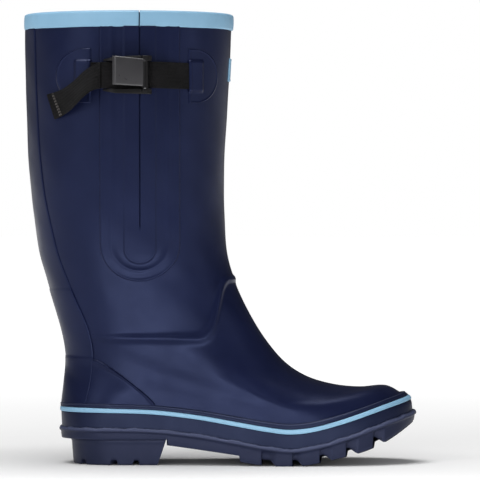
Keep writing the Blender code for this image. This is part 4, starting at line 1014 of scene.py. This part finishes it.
def webbing(name, centre, across, normal, length, nodes, wall=STRAP_WALL, body="boot", hem=0.0):
    """A strip of ribbed webbing. Centre, across and normal are given along its length."""
    s = np.linspace(-1, 1, 97)
    rib = 0.13 * np.abs(np.cos(np.pi * (s + 1) * RIBS / 2))
    edge = np.sqrt(np.clip(1 - ((np.abs(s) - 0.955) / 0.045).clip(0, 1) ** 2, 0, 1))
    width = STRAP_WIDTH / 2
    outer = (wall / 2 - 0.13 + rib) * edge
    loop_s = join(s, s[::-1][1:-1])
    loop_n = join(outer, -outer[::-1][1:-1])
    swell = np.ones(len(centre))
    mark = np.zeros((len(centre), len(loop_s)))
    if hem:
        tail = length[-1] - length
        swell += 0.35 * smooth((hem + 0.6 - tail) / 0.8)
        for where in (hem - 1.4, hem - 3.0):
            stitch = np.exp(-(((tail - where) / 0.35) ** 2))[:, None] * (np.sin(loop_s[None, :] * 28) > -0.35)
            mark = np.maximum(mark, stitch * (np.abs(loop_s[None, :]) < 0.93) * 0.8)
    thick = loop_n[None, :, None] * swell[:, None, None] * (1 - 0.22 * mark[..., None])
    points = centre[:, None, :] + across[:, None, :] * (loop_s * width)[None, :, None]
    points = points + normal[:, None, :] * thick
    uv = np.stack(np.broadcast_arrays(length[:, None], (loop_s * width)[None, :]), -1)
    ring, size = len(loop_s), len(centre) * len(loop_s)
    faces = [face[::-1] for face in grid_faces(len(centre), ring, True).tolist()]
    faces += [list(range(ring)), list(range(size - ring, size))[::-1]]
    return piece(
        name, points, np.array(faces, object), WEBBING, nodes=nodes, slot="black_webbing", body=body,
        marks=mark, uv=uv,
    )


def along(points):
    """Lengths and headings along a line of points."""
    step = np.linalg.norm(np.diff(points, axis=0), axis=1)
    heading = np.gradient(points, axis=0)
    return join(0.0, np.cumsum(step)), heading / np.linalg.norm(heading, axis=1, keepdims=True)


def level_webbing(name, x, y, nodes, **settings):
    """Webbing that runs level at the strap's height, on its edge."""
    centre = np.stack([x, y, np.full(x.shape, STRAP_Z)], -1)
    length, heading = along(centre)
    up = np.tile([0.0, 0.0, 1.0], (len(x), 1))
    webbing(name, centre, up, np.cross(up, heading), length, nodes, **settings)


def adjusting_strap():
    """From under the front patch, over the gusset's edge and through the buckle."""
    x = np.linspace(66.8, TAIL_ROOT_X + 1.0, 150)
    on_leg = leg_y(x, STRAP_Z) - 1.2 - 1.35 * smooth((54.0 - x) / 5.0)
    ramp = smooth((50.0 - x) / 20.0)
    y = mix(on_leg, STRAP_Y - STRAP_WALL / 2, ramp)
    level_webbing("adjusting_strap_webbing", x, y, ("adjusting_strap",))


def anchor_strap():
    x = np.linspace(-26.8, BAR_X - 2.6, 70)
    on_leg = leg_y(x, STRAP_Z) - 1.7 - 1.1 * smooth((x + 14.0) / 5.0)
    y = mix(on_leg, BAR_Y - 0.1, smooth((x + 12.0) / 6.0))
    round_bar = np.linspace(np.pi, np.pi / 2, 8)[1:]
    x = join(x, BAR_X + 2.0 * np.cos(round_bar))[::-1]
    y = join(y, BAR_Y + 1.2 * np.sin(round_bar))[::-1]
    level_webbing("anchor_strap_webbing", x, y, ("anchor_strap",), wall=1.7)


def tail_heading(share):
    gained = mix(TAIL_FIRST, 1.0, smooth(share * 3))
    return np.radians(TAIL_TURN) * gained * mix(1.0, TAIL_LAST, smooth((share - 0.55) / 0.45))


def strap_tail():
    """The free end. It drops backwards and down, standing off the leg, and has a stitched hem."""
    share = np.linspace(0, 1, 110)
    lean = tail_heading(share) * smooth(share * 4)
    fine = np.linspace(0, 1, 1500)

    def gone(steps):
        return join(0.0, np.cumsum(steps[:-1])) * TAIL_LENGTH / (len(fine) - 1)

    x_fine = TAIL_ROOT_X - gone(np.cos(tail_heading(fine)))
    z_fine = STRAP_Z - gone(np.sin(tail_heading(fine)))
    x, z = np.interp(share, fine, x_fine), np.interp(share, fine, z_fine)
    tuck = np.radians(TAIL_TUCK) * np.sin(np.pi * share**0.8)
    across = np.stack([-np.sin(lean) * np.cos(tuck), np.sin(tuck), np.cos(lean) * np.cos(tuck)], -1)
    near = []
    for side in np.array([-1, 0, 1]) * STRAP_WIDTH / 2:
        near.append(leg_y(x + across[:, 0] * side, z + across[:, 2] * side) - across[:, 1] * side)
    clear = np.min(near, axis=0) - TAIL_CLEARANCE
    root = STRAP_Y - STRAP_WALL / 2
    y = np.minimum(mix(root, clear, smooth(share * 1.1)), clear)
    y = mix(root, y, smooth(share * 8))
    centre = np.stack([x, y, z], -1)
    length, direction = along(centre)
    normal = np.cross(across, direction)
    normal /= np.linalg.norm(normal, axis=1, keepdims=True)
    made = webbing("strap_tail_webbing", centre, across, normal, length, ("strap_tail",), body=None, hem=8.0)
    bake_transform(made)


def extrusion(name, outline, low, high, finish, bevel, taper=None, **settings):
    """A closed outline of (x, y), extruded up from one height to another, with rounded edges.

    Taper gives, for an x, the share of the full height that is there, measured from the strap's middle out.
    """
    count = len(outline)
    area = sum(a[0] * b[1] - b[0] * a[1] for a, b in zip(outline, outline[1:] + outline[:1]))
    outline = outline if area > 0 else outline[::-1]
    points = [(x, y, z) for z in (low, high) for x, y in outline]
    if taper:
        near, far = sorted((low, high), key=lambda z: abs(z - STRAP_Z))
        points = [(x, y, mix(near, far, taper(x)) if z == far else z) for x, y, z in points]
    faces = [(i, (i + 1) % count, (i + 1) % count + count, i + count) for i in range(count)]
    faces += [tuple(range(count))[::-1], tuple(range(count, 2 * count))]
    faces = np.array([list(face) for face in faces], object)
    return piece(name, points, faces, finish, bevel=bevel, **settings)


def arc(x, y, radius, start, turn, count):
    angles = np.radians(np.linspace(start, start + turn, count))
    return [(x + radius * np.cos(a), y + radius * np.sin(a)) for a in angles]


def buckle():
    """The frame of two cheeks, a base and a bar, its pin, and the cam lever with a softly domed plate."""
    inside = STRAP_WIDTH / 2 + 0.5
    outside = inside + 4.0
    low, high = STRAP_Z - inside - 0.6, STRAP_Z + inside + 0.6
    face = BUCKLE_FACE_Y
    cheek = [(BUCKLE_BACK, BUCKLE_Y - 1.5), (BUCKLE_BACK + 1.5, BUCKLE_Y), (BUCKLE_FRONT - 1, BUCKLE_Y)]
    cheek += arc(BUCKLE_FRONT - 3, face + 3, 3, 0, -90, 7)
    cheek += [(BUCKLE_FRONT - 6.5, face), (BUCKLE_FRONT - 8.5, face + 1.9), (BUCKLE_BACK + 9, face + 2.3)]
    cheek += [(BUCKLE_BACK + 4.5, face + 3.6), (BUCKLE_BACK, BAR_Y - 1.8)]

    def taper(x):
        return mix(0.35, 1.0, smooth((x - BUCKLE_BACK) / 12))

    extrusion(
        "buckle_cheek_upper", cheek, STRAP_Z + inside, STRAP_Z + outside, PLASTIC, 0.5, taper,
        nodes=("buckle_frame",), slot="black_plastic",
    )
    extrusion(
        "buckle_cheek_lower", cheek, STRAP_Z - outside, STRAP_Z - inside, PLASTIC, 0.5, taper,
        slot="black_plastic",
    )
    floor = [(-0.6, STRAP_Y + 0.35), (28.0, STRAP_Y + 0.35), (28.0, STRAP_Y + 2.35), (-0.6, STRAP_Y + 2.35)]
    extrusion("buckle_base", floor, low, high, PLASTIC, 0.3, slot="black_plastic")
    bar = arc(BAR_X, BAR_Y, BAR_RADIUS, 0, 360 - 22.5, 16)
    extrusion("buckle_bar", bar, low, high, PLASTIC, 0.0, slot="black_plastic")
    pin = arc(PIN_X, PIN_Y, PIN_RADIUS, 0, 360 - 15, 24)
    low, high = STRAP_Z - outside + 0.2, STRAP_Z + outside - 0.2
    extrusion("buckle_pin_rod", pin, low, high, STEEL, 0.25, nodes=("buckle_pin",), slot="steel")
    # The lever: a cam round the pin, and a domed plate that runs back from it over the cheeks. It leans up.
    half = inside - 0.4
    cam = arc(PIN_X, PIN_Y, CAM_RADIUS, 0, 360 - 15, 24)
    low, high = STRAP_Z - half, STRAP_Z + half
    extrusion("buckle_lever_cam", cam, low, high, PLASTIC, 0.3, slot="black_plastic", body="lever")
    front = PIN_X + 0.9
    along_x = clustered(LEVER_END, front, 46, 1.5)[:, None]
    up = clustered(-1, 1, 40, 1.4)[None, :]
    across = (half + 0.25) * up
    edge_x = np.minimum(along_x - LEVER_END, front - along_x)
    edge = np.minimum(edge_x, (half + 0.25) * (1 - np.abs(up)))
    dome = 0.55 * shoulder(edge, 1.1) + 1.15 * np.cos(np.pi / 2 * (along_x - 12) / 17) - 0.5 - 0.2 * up**2
    fall = 1.1 * smooth((3.2 - along_x) / 3.2)
    share = (PIN_X - along_x) / PIN_X
    height = STRAP_Z + across * (1 + 0.05 * share) + mix(*LEVER_LEAN, share)
    x, z = np.broadcast_arrays(along_x, height)
    outer = np.stack([x, face + 0.15 - dome + fall, z], -1)
    inner = np.stack([x, face + 1.55 - 0.3 * shoulder(edge, 1.1) + fall * 0.6, z], -1)
    rows, columns = x.shape
    rim = [i * columns for i in range(rows)] + [(rows - 1) * columns + j for j in range(1, columns)]
    rim += [i * columns + columns - 1 for i in range(rows - 2, -1, -1)] + list(range(columns - 2, 0, -1))
    size = rows * columns
    faces = grid_faces(rows, columns)[:, ::-1].tolist() + (grid_faces(rows, columns) + size).tolist()
    faces += [[a, b, b + size, a + size] for a, b in zip(rim, rim[1:] + rim[:1])]
    points = np.concatenate([outer.reshape(-1, 3), inner.reshape(-1, 3)])
    # The plate takes the lighter copy of the black plastic: a painted highlight.
    piece(
        "buckle_lever_plate", points, np.array(faces, object), LEVER_PLASTIC_PAINTED_LIGHTER, nodes=("buckle_lever",),
        slot="black_plastic", body="lever",
    )


# Studio


def facing(place, target):
    return (Vector(target) - Vector(place)).to_track_quat("-Z", "Y").to_euler()


def area_light(name, place, target, size, power):
    """A lamp that lights the boot and isn't in the picture itself."""
    data = bpy.data.lights.new(name, "AREA")
    data.energy = power
    data.shape = "RECTANGLE"
    data.size, data.size_y = size
    obj = bpy.data.objects.new(name, data)
    obj.location = place
    obj.rotation_euler = facing(place, target)
    obj.visible_camera = False
    bpy.context.scene.collection.objects.link(obj)


def studio():
    data = bpy.data.cameras.new("camera")
    data.lens = LENS
    data.sensor_width = 36.0
    data.clip_end = 50
    camera = bpy.data.objects.new("camera", data)
    camera.location = CAMERA_PLACE
    camera.rotation_euler = facing(CAMERA_PLACE, CAMERA_TARGET)
    bpy.context.scene.collection.objects.link(camera)
    bpy.context.scene.camera = camera

    floor_paint = bpy.data.materials.new("floor_paint")
    floor_paint.use_nodes = True
    tree = floor_paint.node_tree
    place = node(tree, "TexCoord").outputs["Object"]
    tone = blended(tree, noise(tree, place, 3.0), (0.86, 0.86, 0.86), (0.90, 0.90, 0.90))
    paint = tree.nodes["Principled BSDF"]
    tree.links.new(tone, paint.inputs["Base Color"])
    paint.inputs["Roughness"].default_value = 0.9
    paint.inputs["Specular IOR Level"].default_value = 0.1
    # Away from the boot the floor has its own glow, where the lamps no longer reach it.
    away = node(tree, "VectorMath", {0: place}, operation="LENGTH").outputs["Value"]
    glow = mapped(tree, away, GLOW_START, GLOW_END, 0.0, GLOW)
    paint.inputs["Emission Color"].default_value = (1.0, 1.0, 1.0, 1.0)
    tree.links.new(glow, paint.inputs["Emission Strength"])
    mesh = bpy.data.meshes.new("floor")
    angles = np.linspace(0, TURN, 65)[:-1]
    rim = [(FLOOR_RADIUS * np.cos(a), FLOOR_RADIUS * np.sin(a), 0) for a in angles]
    mesh.from_pydata(rim, [], [tuple(range(len(rim)))])
    mesh.materials.append(floor_paint)
    floor = bpy.data.objects.new("floor", mesh)
    bpy.context.scene.collection.objects.link(floor)

    # The backdrop is white to look at. It adds a little even light, and is dim in the rubber's reflections.
    world = bpy.data.worlds.new("world")
    world.use_nodes = True
    tree = world.node_tree
    rays = node(tree, "LightPath").outputs
    dim = mapped(tree, rays["Is Glossy Ray"], 0.0, 1.0, WORLD_LIGHT, WORLD_GLOSSY)
    strength = maths(tree, "MAXIMUM", dim, rays["Is Camera Ray"])
    background = tree.nodes["Background"]
    background.inputs["Color"].default_value = (1.0, 1.0, 1.0, 1)
    tree.links.new(strength, background.inputs["Strength"])
    bpy.context.scene.world = world
    bpy.context.scene.view_settings.view_transform = "Standard"
    for lamp in LAMPS:
        area_light(*lamp)


upper()
gusset_surround()
back_stay()
heel_counter()
strap_patch("rear_patch_skin", "rear_strap_patch", -1)
strap_patch("front_patch_skin", "front_strap_patch", 1)
front_badge()
rim_binding()
lining()
foxing()
outsole()
heel_block()
size_plate()
footbed()
adjusting_strap()
anchor_strap()
strap_tail()
buckle()
studio()
